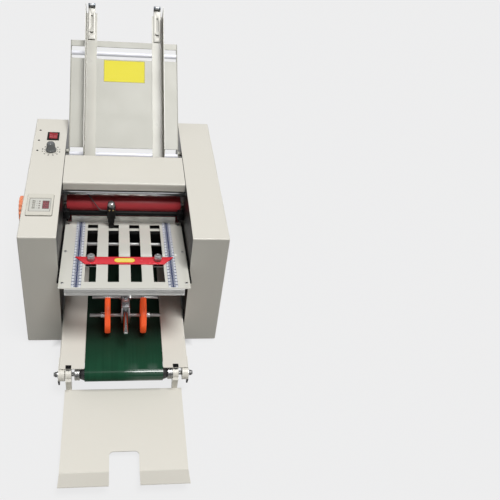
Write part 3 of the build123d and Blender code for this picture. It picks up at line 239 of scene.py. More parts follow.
rollerRubber = moulded(
    "rollerRubber", (0.42, 0.038, 0.046), 0.34, 2200, 0.00001, 0.012, Specular_IOR_Level=0.3
)
feedRubber = moulded("feedRubber", (0.30, 0.28, 0.25), 0.7)
blackRubber = moulded("blackRubber", (0.018, 0.018, 0.019), 0.42, 900, 0.00002, 0.012)
beltRubber = moulded("beltRubber", (0.035, 0.032, 0.03), 0.6)
# The orange wheels glow faintly: painted light that lifts them out of the tray's shadow
orangeRubber = moulded(
    "orangeRubber", (1.0, 0.13, 0.028), 0.36, 1500, 0.00002, 0.01,
    Emission_Color=(1, 0.1, 0.025), Emission_Strength=0.27,
)
orangePlastic = moulded("orangePlastic", (1.0, 0.33, 0.17), 0.34, 1500, 0.00002, 0.012)
blackPlastic = moulded(
    "blackPlastic", (0.008, 0.008, 0.0085), 0.36, 1600, 0.00002, 0.005, Specular_IOR_Level=0.2
)
separatorGrey = moulded("separatorGrey", (0.19, 0.19, 0.18), 0.55)
counterCream = moulded("counterCream", (0.66, 0.64, 0.575), 0.42, 1500, 0.00002)
counterFace = moulded("counterFace", (0.60, 0.60, 0.56), 0.3, 2500, 0.00001)
buttonGrey = moulded("buttonGrey", (0.62, 0.61, 0.56), 0.45)
rockerRed = moulded("rockerRed", (0.30, 0.010, 0.018), 0.25, 1500, 0.00001, 0.01, Coat_Weight=0.2)
knobGrey = moulded("knobGrey", (0.13, 0.135, 0.138), 0.34, 1700, 0.00002, 0.03)
labelYellow = moulded(
    "labelYellow", (0.82, 0.73, 0.03), 0.5, 3000, 0.000005, 0.004, Specular_IOR_Level=0.25
)
labelLine = moulded("labelLine", (0.20, 0.18, 0.04), 0.4, 3000, 0.000005, 0.01)
pillCentre = moulded("pillCentre", (0.90, 0.70, 0.16), 0.3, 3000, 0.000005)
printInk = moulded("printInk", (0.018, 0.018, 0.02), 0.45)
rulerInk = moulded("rulerInk", (0.03, 0.05, 0.15), 0.4)
faceLine = moulded("faceLine", (0.11, 0.075, 0.07), 0.45)
# Lighter red of the rocker's ribs: painted highlight
rockerHighlight = moulded("rockerHighlight", (0.48, 0.10, 0.12), 0.4)
whiteMark = moulded("whiteMark", (0.78, 0.78, 0.76), 0.4)
# Smoked red window of the counter, and its segments that glow faintly
smokedWindow = moulded("smokedWindow", (0.13, 0.03, 0.036), 0.16, 3000, 0.000002, Coat_Weight=0.8)
litSegment = Finish(
    "litSegment", (0.4, 0.01, 0.01), 0.3, Emission_Color=(1, 0.14, 0.16), Emission_Strength=0.1
)
litSegment.set("Base Color", litSegment.mixed(litSegment.noise(900), (0.36, 0.05, 0.06), (0.28, 0.04, 0.05)))

# Guides: painted highlight on the bent outer edge and painted shade that darkens the face towards it, in
# metres from the middle
guideLook = {"fade": (0.066, 0.086), "edge": 0.0872}
darkening = guidePaint.fade(guidePaint.sideways(), *guideLook["fade"])
face = guidePaint.mixed(darkening, (0.45, 0.44, 0.38), (0.34, 0.33, 0.285))
onEdge = guidePaint.sideways() > guideLook["edge"]
# The pale colour on the outer edge is a painted highlight
guidePaint.set("Base Color", guidePaint.mixed(onEdge, face, (0.62, 0.61, 0.57)))

# End bar of a guide extension: dark, with a painted highlight over its middle
tipLook = {"middle": 0.07535, "half": 0.004}
bright = (tipMetal.sideways() - tipLook["middle"]).size() < tipLook["half"]
tipMetal.set("Base Color", tipMetal.mixed(bright, (0.20, 0.23, 0.26), (0.6, 0.62, 0.65)))

# Conveyor belt: long streaks, painted shade that darkens it to the back under the tray, polished where the
# right half bends over the front roller, with a fine fabric print and a skewed splice
beltLook = {
    "streaks": (260, 5, 5), "clouds": 16, "ripple": 0.05, "shadeUnderTray": (-0.215, -0.125), "blend": 1.6,
    "polishedFrom": (0.01, 0.04), "bent": (-0.236, -0.25), "roughness": 0.23, "spread": 0.14,
    "weave": 900.0, "weaveShare": 0.2, "spliceTurn": 12, "splicePlace": -0.165, "spliceHalf": 0.0006,
    "spliceDepth": 1.5,
}
beltGreen = Finish("beltGreen", (0.020, 0.078, 0.042), 0.3, Specular_IOR_Level=0.05, Coat_Roughness=0.08)
streaks = beltGreen.noise(1, 4, beltGreen.place(beltLook["streaks"]))
cloudy = beltGreen.noise(beltLook["clouds"], 4)
shadeUnderTray = beltGreen.fade(beltGreen.axis(1) + cloudy * beltLook["ripple"], *beltLook["shadeUnderTray"])
unshadedBelt = beltGreen.mixed(streaks * cloudy * beltLook["blend"], (0.009, 0.042, 0.022), (0.018, 0.084, 0.044))
# The near-black green towards the back is painted shade under the tray
beltGreen.set("Base Color", beltGreen.mixed(shadeUnderTray, unshadedBelt, (0.011, 0.024, 0.016)))
beltGreen.uneven(streaks, beltLook["roughness"], beltLook["spread"])
polished = beltGreen.fade(beltGreen.axis(0), *beltLook["polishedFrom"])
beltGreen.set("Coat Weight", polished * beltGreen.fade(beltGreen.axis(1), *beltLook["bent"]))
weave = beltGreen.node("ShaderNodeTexChecker", {}, {
    "Vector": beltGreen.place(), "Scale": beltLook["weave"], "Color1": (0, 0, 0), "Color2": (1, 1, 1),
}, 1)
skewed = beltGreen.axis(1, beltGreen.place(turn=(0, 0, radians(beltLook["spliceTurn"]))))
splice = ((skewed - beltLook["splicePlace"]).size() < beltLook["spliceHalf"]) * beltLook["spliceDepth"]
beltGreen.bump(weave * beltLook["weaveShare"] + streaks * 0.5 - splice, 0.00004, 0.7)

# Scale strip: white with two rows of fine ticks; U runs across the strip and V along it, in metres
rulerLook = {
    "rowStart": 0.0018, "fineEnd": 0.0044, "coarseEnd": 0.0056, "fine": (0.001, 0.00028),
    "coarse": (0.005, 0.0006), "middle": 0.0016, "edge": (0.0084, 0.0089), "edgeInk": 0.6,
    "paper": (0.68, 0.70, 0.75), "ink": (0.03, 0.045, 0.12),
}
rulerWhite = Finish("rulerWhite", (0.78, 0.79, 0.80), 0.3)
across = rulerWhite.axis(0, "UV").size()
along = rulerWhite.axis(1, "UV")


def tickRow(spacing, end):
    period, width = rulerLook[spacing]
    return (along.pingPong(period / 2) < width) * (across > rulerLook["rowStart"]) * (across < rulerLook[end])


edgeLine = (across > rulerLook["edge"][0]) * (across < rulerLook["edge"][1])
ink = tickRow("fine", "fineEnd").largest(tickRow("coarse", "coarseEnd"))
ink = ink.largest(across < rulerLook["middle"]).largest(edgeLine * rulerLook["edgeInk"])
rulerWhite.set("Base Color", rulerWhite.mixed(ink, rulerLook["paper"], rulerLook["ink"]))
rulerWhite.uneven(rulerWhite.noise(60), 0.3, 0.1)
print("finishes made")


# Mesh helpers

def at(x, y, z):
    return Matrix.Translation((x, y, z))


def turned(degrees, axis):
    return Matrix.Rotation(radians(degrees), 4, axis)


# Turns spread evenly around Z
def spokes(count):
    return [turned(360 * index / count, "Z") for index in range(count)]


alongX = turned(90, "Y")
alongY = turned(-90, "X")
outward = {1: alongX, -1: turned(-90, "Y")}  # Away from the middle on either side
# For an outline drawn in Y and Z that is pulled along X
sideOn = Matrix(((0, 0, 1, 0), (1, 0, 0, 0), (0, 1, 0, 0), (0, 0, 0, 1)))

# Sloping sheets: Z stands on the upper face and Y runs away from the rollers
frontTray = at(0, 179, 187) @ turned(180, "Z") @ turned(8, "X")
rearTray = at(0, 224, 150) @ turned(-10, "X")
feedBoard = at(0, 324.8, 281.1) @ turned(37.33, "X")
onBoxTop = 290.0


# Profile of (radius, height) points turned about Z
def turnedShape(profile, steps=48, closed=False):
    shape = bmesh.new()
    verts = [shape.verts.new((radius, 0, height)) for radius, height in profile]
    pairs = list(zip(verts, verts[1:]))
    if closed:
        pairs.append((verts[-1], verts[0]))
    edges = [shape.edges.new(pair) for pair in pairs]
    bmesh.ops.spin(
        shape, geom=verts + edges, cent=(0, 0, 0), axis=(0, 0, 1), angle=2 * pi, steps=steps,
        use_merge=True,
    )
    bmesh.ops.remove_doubles(shape, verts=shape.verts, dist=1e-4)
    return shape


# Rounded ends on a profile: a rod, or a sleeve where it has a core
def barrel(radius, length, edge, core=0):
    bend = edge * 0.3
    side = [(core, 0), (radius - edge, 0), (radius - bend, bend), (radius, edge)]
    return side + [(width, length - height) for width, height in side[::-1]]


def rod(radius, length, edge=0.6, steps=32):
    return turnedShape(barrel(radius, length, edge), steps)


def collar(bore, radius, low, high, edge, steps=40):
    return turnedShape([
        (bore, low), (radius - edge, low), (radius, low + edge), (radius, high - edge), (radius - edge, high),
        (bore, high),
    ], steps, closed=True)


# Turned shape whose rim is cut with flutes or a straight knurl
def fluted(profile, teeth, depth, rim, perTooth=4):
    shape = turnedShape(profile, teeth * perTooth)
    for vert in shape.verts:
        radius = hypot(vert.co.x, vert.co.y)
        if radius > rim:
            wave = (1 + cos(teeth * atan2(vert.co.y, vert.co.x))) / 2
            vert.co.xy *= 1 - depth * wave / radius
    return shape


def softened(shape, edge, segments=2):
    if edge:
        sharp = [e for e in shape.edges if e.is_manifold and e.calc_face_angle() > 0.5]
        bmesh.ops.bevel(
            shape, geom=sharp, offset=edge, affect="EDGES", segments=segments, profile=0.5, material=-1
        )
    return shape


# Block between two corners; its ends in X may come in either order
def slab(x0, x1, y0, y1, z0, z1, edge=0.3, segments=2):
    shape = bmesh.new()
    size = Matrix.Diagonal((abs(x1 - x0), y1 - y0, z1 - z0, 1))
    middle = at((x0 + x1) / 2, (y0 + y1) / 2, (z0 + z1) / 2)
    bmesh.ops.create_cube(shape, size=1, matrix=middle @ size)
    return softened(shape, edge, segments)


# Sheet with the first outline as its edge and the others as holes, pulled up by its thickness
def plate(outlines, thickness, edge=0.0, segments=2):
    shape = bmesh.new()
    edges = []
    for outline in outlines:
        verts = [shape.verts.new((x, y, 0)) for x, y in outline]
        edges += [shape.edges.new(pair) for pair in zip(verts, verts[1:] + verts[:1])]
    if len(outlines) == 1:
        shape.faces.new(list(shape.verts))
    else:
        bmesh.ops.triangle_fill(shape, edges=edges, use_beauty=True, normal=(0, 0, 1))
    made = bmesh.ops.extrude_face_region(shape, geom=shape.faces[:], use_keep_orig=True)
    top = [item for item in made["geom"] if isinstance(item, bmesh.types.BMVert)]
    bmesh.ops.translate(shape, verts=top, vec=(0, 0, thickness))
    bmesh.ops.recalc_face_normals(shape, faces=shape.faces)
    return softened(shape, edge, segments)


def arc(x, y, radius, start, stop, steps=10):
    turns = [radians(start + (stop - start) * i / steps) for i in range(steps + 1)]
    return [(x + radius * cos(turn), y + radius * sin(turn)) for turn in turns]


# The corners stay just apart where the radius is half the width
def roundedBox(x0, x1, y0, y1, radius, steps=5):
    radius = min(radius, (x1 - x0) / 2 - 0.01, (y1 - y0) / 2 - 0.01)
    corners = ((x1 - radius, y1 - radius), (x0 + radius, y1 - radius), (x0 + radius, y0 + radius),
               (x1 - radius, y0 + radius))
    points = []
    for quarter, corner in enumerate(corners):
        points += arc(*corner, radius, 90 * quarter, 90 * quarter + 90, steps)
    return points


# Closed band between two outlines with as many points each, pulled along Z
def band(outer, inner, length):
    shape = bmesh.new()
    ends = []
    for height in (0, length):
        loops = []
        for outline in (outer, inner):
            verts = [shape.verts.new((x, y, height)) for x, y in outline]
            loops.append([shape.edges.new(pair) for pair in zip(verts, verts[1:] + verts[:1])])
        bmesh.ops.bridge_loops(shape, edges=loops[0] + loops[1])
        ends.append(loops)
    for side in (0, 1):
        bmesh.ops.bridge_loops(shape, edges=ends[0][side] + ends[1][side])
    return shape


def lettering(text, size, depth, bold):
    curve = bpy.data.curves.new("lettering", "FONT")
    curve.body = text
    curve.size = size
    curve.extrude = depth / 2
    curve.offset = bold
    curve.resolution_u = 2
    curve.align_x = "CENTER"
    curve.align_y = "CENTER"
    holder = bpy.data.objects.new("lettering", curve)
    scene.collection.objects.link(holder)
    bpy.context.view_layer.update()
    flat = bpy.data.meshes.new_from_object(holder.evaluated_get(bpy.context.evaluated_depsgraph_get()))
    shape = bmesh.new()
    shape.from_mesh(flat)
    bpy.data.objects.remove(holder)
    bpy.data.meshes.remove(flat)
    return shape


# Object made of a shape that is used up
def placed(name, shape, *looks):
    mesh = bpy.data.meshes.new(name)
    shape.to_mesh(mesh)
    shape.free()
    for look in looks:
        mesh.materials.append(look.material)
    thing = bpy.data.objects.new(name, mesh)
    scene.collection.objects.link(thing)
    return thing


# One object of the scene, put together from shapes in machine millimetres
class Piece:
    def __init__(self, name, body, slotName, look):
        self.name = name
        self.body = body
        self.slotName = slotName
        self.looks = [look]
        self.mesh = bmesh.new()

    # Shape in its place, in the piece's first look or one of its own
    def add(self, shape, place=None, look=None):
        bmesh.ops.remove_doubles(shape, verts=shape.verts, dist=1e-4)
        bmesh.ops.recalc_face_normals(shape, faces=shape.faces)
        if place is not None:
            bmesh.ops.transform(shape, matrix=place, verts=shape.verts)
            if place.determinant() < 0:
                bmesh.ops.reverse_faces(shape, faces=shape.faces)
        look = look or self.looks[0]
        if look not in self.looks:
            self.looks.append(look)
        index = self.looks.index(look)
        for face in shape.faces:
            face.material_index = index
            face.smooth = True
        scrap = bpy.data.meshes.new("scrap")
        shape.to_mesh(scrap)
        shape.free()
        self.mesh.from_mesh(scrap)
        bpy.data.meshes.remove(scrap)

    def rod(self, start, axis, radius, length, look=None, edge=0.6, steps=32):
        self.add(rod(radius, length, edge, steps), at(*start) @ axis, look)

    # Screw head: a low dome with a hexagon socket, its base at the origin of place
    def screwHead(self, place, radius, height, look=zinc, dark=blackPlastic):
        socket = radius * 0.5
        self.add(turnedShape([
            (0, height * 0.45), (socket, height * 0.45), (socket, height * 0.96),
            (radius * 0.72, height * 0.9), (radius * 0.93, height * 0.6), (radius, height * 0.2),
            (radius, 0), (0, 0),
        ], steps=20), place, look)
        self.add(turnedShape([(0, height * 0.5), (socket * 0.96, height * 0.5)], steps=6), place, dark)

    def finish(self, *stands):
        bmesh.ops.transform(self.mesh, matrix=toFrame, verts=self.mesh.verts)
        thing = placed(self.name, self.mesh, *self.looks)
        thing.data.set_sharp_from_angle(angle=radians(32))
        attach(thing, self.body)
        if stands:
            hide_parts(*stands)


# Nodes of the frame that keep their own meshes

carried = {
    cream: "left_side_cover right_side_cover roller_cover conveyor_side_rails receiving_tray "
           "receiving_tray_hooks",
    trayPaint: "front_tray_top_plate rear_tray_plates",
    lowerSheet: "front_tray_lower_plate",
    boardPaint: "feed_board",
    guidePaint: "left_paper_guide right_paper_guide",
    plateSteel: "left_frame_plate right_frame_plate",
    gearSteel: "motor_pulley fold_gear_1 fold_gear_2 fold_gear_3 fold_gear_4",
    bronze: "roller_bearings",
    turnedSteel: "speed_potentiometer",
    motorGrey: "motor",
    separatorGrey: "separator_block",
    feedRubber: "feed_roller",
    beltRubber: "drive_belts",
    blackRubber: "rubber_feet sensor_lead receiving_tray_feet",
    blackPlastic: "power_inlet",
    counterCream: "counter_housing",
    smokedWindow: "counter_display",
    buttonGrey: "counter_button_1 counter_button_2 counter_button_3 counter_button_4",
}
for look, nodes in carried.items():
    for nodeName in nodes.split():
        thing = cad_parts[nodeName]
        if not thing.material_slots:
            thing.data.materials.append(look.material)
        for holder in thing.material_slots:
            holder.material = look.material
print("carried nodes dressed")


# Fold rollers

rollers = {
    "pitch": 40.2, "radius": 19.8, "half": 120.0, "edge": 1.2, "core": 14.0, "journal": 5.0, "chamfer": 0.6,
    "neck": 1.5, "neckReach": (3, 4), "overlap": 0.02, "main": (215.0, 187.4),
    "angles": (118.8, 222.6, 299.1), "left": (-136.0, -218.0, -136.0, -136.0),
    "right": (146.0, 170.0, 146.0, 158.0),
}


def step(centre, angle):
    y, z = centre
    return y + rollers["pitch"] * cos(radians(angle)), z + rollers["pitch"] * sin(radians(angle))


first = step(rollers["main"], rollers["angles"][0])
third = step(rollers["main"], rollers["angles"][1])
rollerCentres = [first, rollers["main"], third, step(third, rollers["angles"][2])]
half, shaft, chamfer = rollers["half"], rollers["journal"], rollers["chamfer"]
neck = shaft + rollers["neck"]
tube = rollers["core"] + rollers["overlap"]
near, far = rollers["neckReach"]
width = 2 * half
for index, (y, z) in enumerate(rollerCentres):
    node = "fold_roller_%d" % (index + 1)
    piece = Piece("foldRoller%d" % (index + 1), node, "roller_rubber", rollerRubber)
    cover = barrel(rollers["radius"], width, rollers["edge"], rollers["core"])
    piece.add(turnedShape(cover, steps=72, closed=True), at(-half, y, z) @ alongX)
    left = rollers["left"][index] + half
    right = rollers["right"][index] + half
    piece.add(turnedShape([
        (0, left), (shaft - chamfer, left), (shaft, left + chamfer), (shaft, -far), (neck, -near),
        (neck, chamfer), (tube, chamfer), (tube, width - chamfer), (neck, width - chamfer),
        (neck, width + near), (shaft, width + far), (shaft, right - chamfer), (shaft - chamfer, right),
        (0, right),
    ]), at(-half, y, z) @ alongX, turnedSteel)
    piece.finish(node)
print("fold rollers made")


# Tie rods

tieRods = {
    "half": 127.0, "cover": (182.0, 262.0, 6.0), "tray": (116.0, 177.0, 3.8),
    "separator": (245.0, 272.0, 5.0), "low": ((40.0, 28.0), (400.0, 40.0), (400.0, 190.0)), "radius": 5.0,
    "guideHalf": 120.0, "guideSpots": (229.3, -14.5), "guideDepth": 5.0,
}
piece = Piece("tieRods", "frame", "chrome", chrome)
half, radius = tieRods["half"], tieRods["radius"]
for key, look in (("cover", chrome), ("tray", wornRod), ("separator", chrome)):
    y, z, own = tieRods[key]
    piece.rod((-half, y, z), alongX, own, 2 * half, look, steps=40)
for y, z in tieRods["low"]:
    piece.rod((-half, y, z), alongX, radius, 2 * half)
half = tieRods["guideHalf"]
for spotAlong in tieRods["guideSpots"]:
    middle = feedBoard @ Vector((0, spotAlong, -tieRods["guideDepth"]))
    piece.rod((-half, middle.y, middle.z), alongX, radius, 2 * half, paleRod, steps=40)
piece.finish("tie_rods")


# Hand wheel

handWheel = {
    "start": -222.0, "flutes": (18, 2.2, 27.0, 8), "webs": 5, "web": (10.6, 24.4, -1.2, 1.2, 11, 18),
    "screw": (2.4, 3.6, 1.9),
    "profile": [
        (0, 2.4), (4.2, 2.4), (4.6, 0.9), (5.2, 0.5), (9.8, 0.5), (11, 1.6), (11, 4), (12, 4.6), (22.6, 4.6),
        (24, 4), (24, 1.4), (25, 0.3), (27, 0), (28.4, 0), (30.3, 0.9), (31, 3), (31, 17), (30.3, 19.1),
        (28.4, 20), (26, 20), (24, 19), (24, 11.6), (23, 11), (12, 11), (11, 11.6), (11, 19), (10, 20),
        (5.4, 20), (5.05, 19.6), (5.05, 4.02), (0, 4.02),
    ],
}
piece = Piece("handWheel", "fold_roller_2", "orange_plastic", orangePlastic)
wheelPlace = at(handWheel["start"], *rollers["main"]) @ alongX
piece.add(fluted(handWheel["profile"], *handWheel["flutes"]), wheelPlace)
for around in spokes(handWheel["webs"]):
    piece.add(slab(*handWheel["web"], edge=0.5), wheelPlace @ around)
sunk, radius, height = handWheel["screw"]
piece.screwHead(at(handWheel["start"] + sunk, *rollers["main"]) @ outward[-1], radius, height)
piece.finish("hand_wheel")
print("hand wheel made")


# Paper stops

paperStop = {
    "rear": 140.5, "front": 165.5, "halfRear": 97.0, "halfFront": 77.0, "thick": 2.0, "lift": 0.3,
    "slotMiddles": (-65.25, -21.75, 21.75, 65.25), "fingerHalf": 9.0, "finger": (140.5, 143, -9.5, 1.5),
    "nutPlace": 152.5, "washer": (6.6, 0.8, 0.25), "flutes": (30, 0.7, 7.2),
    "nut": [
        (0, 0.8), (4.6, 0.8), (4.6, 2.2), (6.7, 2.2), (7.5, 3.1), (7.5, 10.6), (6.9, 11.5), (5.9, 12),
        (3.4, 12), (2.9, 11.4), (0, 11.4),
    ],
    "stud": 2.5, "studTip": (10.7, 1.2), "studFoot": (-8.8, 9.6),
    "clampHalf": 14.0, "clamp": (146.5, 158.5, -10.3, -8.3),
    "pill": (40.0, 14.0, 0.14), "pillCentre": (36.0, 10.0, 0.2),
}


def stop(name, node, tray):
    top = paperStop["lift"] + paperStop["thick"]
    piece = Piece(name, node, "stop_red", stopRed)
    outline = [
        (-paperStop["halfRear"], paperStop["rear"]), (-paperStop["halfFront"], paperStop["front"]),
        (paperStop["halfFront"], paperStop["front"]), (paperStop["halfRear"], paperStop["rear"]),
    ]
    piece.add(plate([outline], paperStop["thick"], edge=0.5, segments=3), tray @ at(0, 0, paperStop["lift"]))
    half = paperStop["fingerHalf"]
    for x in paperStop["slotMiddles"]:
        piece.add(slab(x - half, x + half, *paperStop["finger"], edge=0.4), tray)
    half = paperStop["clampHalf"]
    tipLift, tipLength = paperStop["studTip"]
    footLift, footLength = paperStop["studFoot"]
    for x in (paperStop["slotMiddles"][0], paperStop["slotMiddles"][-1]):
        nutPlace = tray @ at(x, paperStop["nutPlace"], 0)
        piece.add(rod(*paperStop["washer"]), nutPlace @ at(0, 0, top), zinc)
        piece.add(fluted(paperStop["nut"], *paperStop["flutes"]), nutPlace @ at(0, 0, top), zinc)
        tip = rod(paperStop["stud"], tipLength, edge=0.4, steps=20)
        piece.add(tip, nutPlace @ at(0, 0, top + tipLift), turnedSteel)
        foot = rod(paperStop["stud"], footLength, edge=0.1, steps=20)
        piece.add(foot, nutPlace @ at(0, 0, footLift), turnedSteel)
        piece.add(slab(x - half, x + half, *paperStop["clamp"], edge=0.5), tray, turnedSteel)
    middle = (paperStop["rear"] + paperStop["front"]) / 2
    for key, look in (("pill", labelYellow), ("pillCentre", pillCentre)):
        width, depth, thick = paperStop[key]
        outline = roundedBox(-width / 2, width / 2, -depth / 2, depth / 2, depth / 2, steps=12)
        piece.add(plate([outline], thick), tray @ at(0, middle, top), look)
    piece.finish(node)


stop("frontPaperStop", "front_paper_stop", frontTray)
stop("rearPaperStop", "rear_paper_stop", rearTray)


# Tray rails, end bars, scales and screws

trayFrame = {
    "half": 123.0, "outer": 127.0, "start": 20.5, "end": 244.5, "rail": 7.0, "gap": 5.0, "sheet": 1.5,
    "brackets": ((26, 46), (146, 166)), "drop": 14.0, "gapShadeStrip": (0.4, 4.0),
    "barHalf": 112.0, "barDepth": 12.0, "barHeight": 15.0, "barWall": (2, 3.9), "barChamfer": 0.6,
    "grooves": ((0.78, 1.0), (0.5, 2.2), (0.22, 1.0)), "grooveDepth": 1.6,
    "screwX": 116.5, "screws": (10.5, 118.5, 226.5), "screw": (3.0, 1.0),
}
scaleStrip = {
    "middle": 90.5, "half": 9.0, "start": 2.0, "end": 240.5, "thick": 0.18, "tens": 24, "numbers": 6.9,
    "numberSize": (5.8, 4.64), "ink": (0.06, 0.24),
}


def trayRails(name, node, tray):
    start, end, top = trayFrame["start"], trayFrame["end"], -trayFrame["sheet"]
    back = end - trayFrame["barDepth"]
    half = trayFrame["half"]
    piece = Piece(name, "frame", "bar_aluminium", barAluminium)
    for side in (-1, 1):
        near, far = side * half, side * trayFrame["outer"]
        inside = near - side * trayFrame["rail"]
        piece.add(slab(inside, near, start, back, top - trayFrame["gap"], top, edge=0.15), tray, trayPaint)
        # Brackets in black and a thin black strip along the tray's edge: painted shade of the gap beside the
        # side box
        for front, rear in trayFrame["brackets"]:
            piece.add(slab(near, far, front, rear, -trayFrame["drop"], top, edge=0.2), tray, blackOxide)
        high, low = trayFrame["gapShadeStrip"]
        strip = slab(near, far, start, back - trayFrame["barDepth"], top - low, top - high, edge=0.1)
        piece.add(strip, tray, blackOxide)
    # Grooved bar: outline along the tray and up, pulled across
    tall, chamfer = trayFrame["barHeight"], trayFrame["barChamfer"]
    low = top - tall
    outline = [(back, low), (end - chamfer, low), (end, low + chamfer)]
    for share, radius in trayFrame["grooves"]:
        for out, up in arc(0, 0, radius, 270, 90, 8):
            inward = min(0.0, max(-trayFrame["grooveDepth"], out))
            outline.append((end + inward, top - tall * share + up))
    wall, web = trayFrame["barWall"]
    outline += [
        (end, top - chamfer), (end - chamfer, top), (back, top), (back, top - wall), (end - web, top - wall),
        (end - web, low + wall), (back, low + wall),
    ]
    bar = plate([outline], 2 * trayFrame["barHalf"])
    piece.add(bar, tray @ at(-trayFrame["barHalf"], 0, 0) @ sideOn)
    piece.finish(node)


def scales(name, tray):
    start, half = scaleStrip["start"], scaleStrip["half"]
    depth, bold = scaleStrip["ink"]
    for side, word in ((-1, "Left"), (1, "Right")):
        middle = side * scaleStrip["middle"]
        shape = slab(middle - half, middle + half, start, scaleStrip["end"], 0, scaleStrip["thick"], edge=0)
        layer = shape.loops.layers.uv.new("scale")
        for face in shape.faces:
            for loop in face.loops:
                loop[layer].uv = ((loop.vert.co.x - middle) / 1000, (loop.vert.co.y - start) / 1000)
        bmesh.ops.transform(shape, matrix=toFrame @ tray, verts=shape.verts)
        bmesh.ops.recalc_face_normals(shape, faces=shape.faces)
        thing = placed(name + word, shape, rulerWhite)
        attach(thing, "frame")
        numbers = Piece(name + word + "Numbers", "frame", "painted_cream", rulerInk)
        lift = scaleStrip["thick"] + depth / 2
        for tens in range(1, scaleStrip["tens"]):
            size = scaleStrip["numberSize"][tens > 9]
            for shift in (-1, 1):
                spot = at(middle + shift * scaleStrip["numbers"], start + tens * 10, lift)
                numbers.add(lettering(str(tens), size, depth, bold), tray @ spot @ turned(180, "Z"))
        numbers.finish()


for name, word, tray in (("frontTray", "front", frontTray), ("rearTray", "rear", rearTray)):
    trayRails(name + "Rails", word + "_tray_rails", tray)
    scales(name + "Scale", tray)
    screws = Piece(name + "Screws", "frame", "chrome", zinc)
    for side in (-1, 1):
        for along in trayFrame["screws"]:
            screws.screwHead(tray @ at(side * trayFrame["screwX"], along, 0), *trayFrame["screw"])
    screws.finish()
print("trays made")


# Counting sensor on its bar

sensor = {
    "x": -27.0, "body": (-8.8, 8.8, 158.0, 172.0, 211.0, 238.0),
    "waist": (-7.0, 7.0, 158.6, 172.0, 199.0, 212.0), "foot": (-5, 5, 160.5, 170.5, 185.0, 200.0),
    "knobY": 165, "top": 238.0, "flutes": (26, 0.7, 7.2),
    "knob": [
        (0, 0), (5, 0), (5, 1.6), (6.8, 1.6), (7.5, 2.4), (7.5, 8.8), (6.9, 10.4), (5.2, 11.6), (3.0, 12),
        (0, 12),
    ],
    "contact": [(0, 0), (1.7, 0), (1.6, 0.6), (1.0, 1.1), (0, 1.2)], "contacts": (3.8, 158.0, 233.8),
    "bar": (169, 218.5, 5.0), "half": 113, "outer": 127, "block": (162, 174.3, 206, 226),
    "blockScrew": (167.5, 2.4, 1.2), "rollerShadeSheet": (158.3, 159.8, 132, 178),
}
sensorPlace = at(sensor["x"], 0, 0)
piece = Piece("counterSensor", "frame", "black_plastic", blackPlastic)
piece.add(slab(*sensor["body"], edge=1.2, segments=3), sensorPlace)
piece.add(slab(*sensor["waist"], edge=1.0), sensorPlace)
piece.add(slab(*sensor["foot"], edge=0.5), sensorPlace)
onTop = sensorPlace @ at(0, sensor["knobY"], sensor["top"])
piece.add(fluted(sensor["knob"], *sensor["flutes"]), onTop, knurledSteel)
aside, y, z = sensor["contacts"]
for side in (-1, 1):
    forward = sensorPlace @ at(side * aside, y, z) @ turned(90, "X")
    piece.add(turnedShape(sensor["contact"], steps=16), forward, brass)
piece.finish("counter_sensor")

piece = Piece("sensorBar", "frame", "black_plastic", blackOxide)
half, outer = sensor["half"], sensor["outer"]
y, z, radius = sensor["bar"]
piece.rod((-half, y, z), alongX, radius, 2 * half, steps=40)
y, radius, height = sensor["blockScrew"]
for side in (-1, 1):
    piece.add(slab(side * half, side * outer, *sensor["block"], edge=1.6, segments=3))
    screwPlace = at(side * (half + outer) / 2, y, sensor["block"][-1])
    piece.screwHead(screwPlace, radius, height, blackPlastic, blackOxide)
# Black sheet across the machine below the tray: painted shade that hides the rollers seen through the slots
piece.add(slab(-outer, outer, *sensor["rollerShadeSheet"], edge=0.2))
piece.finish("sensor_bar")

# Dark, light and dark strips at the tray's mouth, between the lower sheet and the rollers: the dark strips
# are painted shade, the light one a cross strip
mouthStripsWithShade = {
    "half": 112, "strips": (
        ((4.0, 16.8, -8.0, -6.5, 0.1), blackOxide), ((16.8, 27.0, -6.5, -6.2, 0.05), trayPaint),
        ((27.0, 38.9, -8.2, -6.2, 0.05), blackOxide),
    ),
}
piece = Piece("mouthStripsWithShade", "frame", "black_plastic", blackOxide)
for strip, look in mouthStripsWithShade["strips"]:
    piece.add(slab(-mouthStripsWithShade["half"], mouthStripsWithShade["half"], *strip), frontTray, look)
piece.finish()


# Conveyor

conveyor = {
    "front": -128.0, "rear": 185.0, "z": 54.5, "inner": 12.6, "outer": 14.4, "half": 75.2, "rollerHalf": 84.0,
    "side": [(8.6, 0), (9.5, 0.9), (11.9, 7.2), (12.3, 8.6)], "bore": 4.05,
    "rearShaft": (-136, 158, 5.0), "pulleyStart": 148,
    "pulley": [(5, 0), (14, 0), (14, 1.2), (12, 1.5), (12, 6.5), (14, 6.8), (14, 8), (5, 8)],
    "frontShaft": 134, "shaftRadius": 4.0,
    "collar": [
        (4, 84.3), (11.2, 84.3), (12, 85.1), (12, 88.6), (11.5, 89), (11.5, 89.8), (12, 90.2), (12, 93.5),
        (11.2, 94.3), (4, 94.3),
    ],
    "washer": (4.02, 7.2, 125, 127, 0.4), "nut": (5.2, 3.9, 4.6),
    "collarScrewX": 89.4, "collarScrewTilt": -22,
    "collarScrew": [(0, 10.5), (3.3, 10.5), (3.3, 14.0), (2.9, 14.5), (1.6, 14.5), (1.6, 12.8), (0, 12.8)],
    "hookScrews": ((-106.0, "Left"), (100.1, "Right")), "hookScrewTilt": -18,
    "hookScrew": [(0, 10), (4.0, 10), (4.0, 13.3), (3.5, 13.8), (1.8, 13.8), (1.8, 12.4), (0, 12.4)],
    "hookWasher": [(5.2, 10.9), (5.2, 11.7), (0, 11.7)],
}
frontAxis = at(0, conveyor["front"], conveyor["z"])
rearAxis = at(0, conveyor["rear"], conveyor["z"])


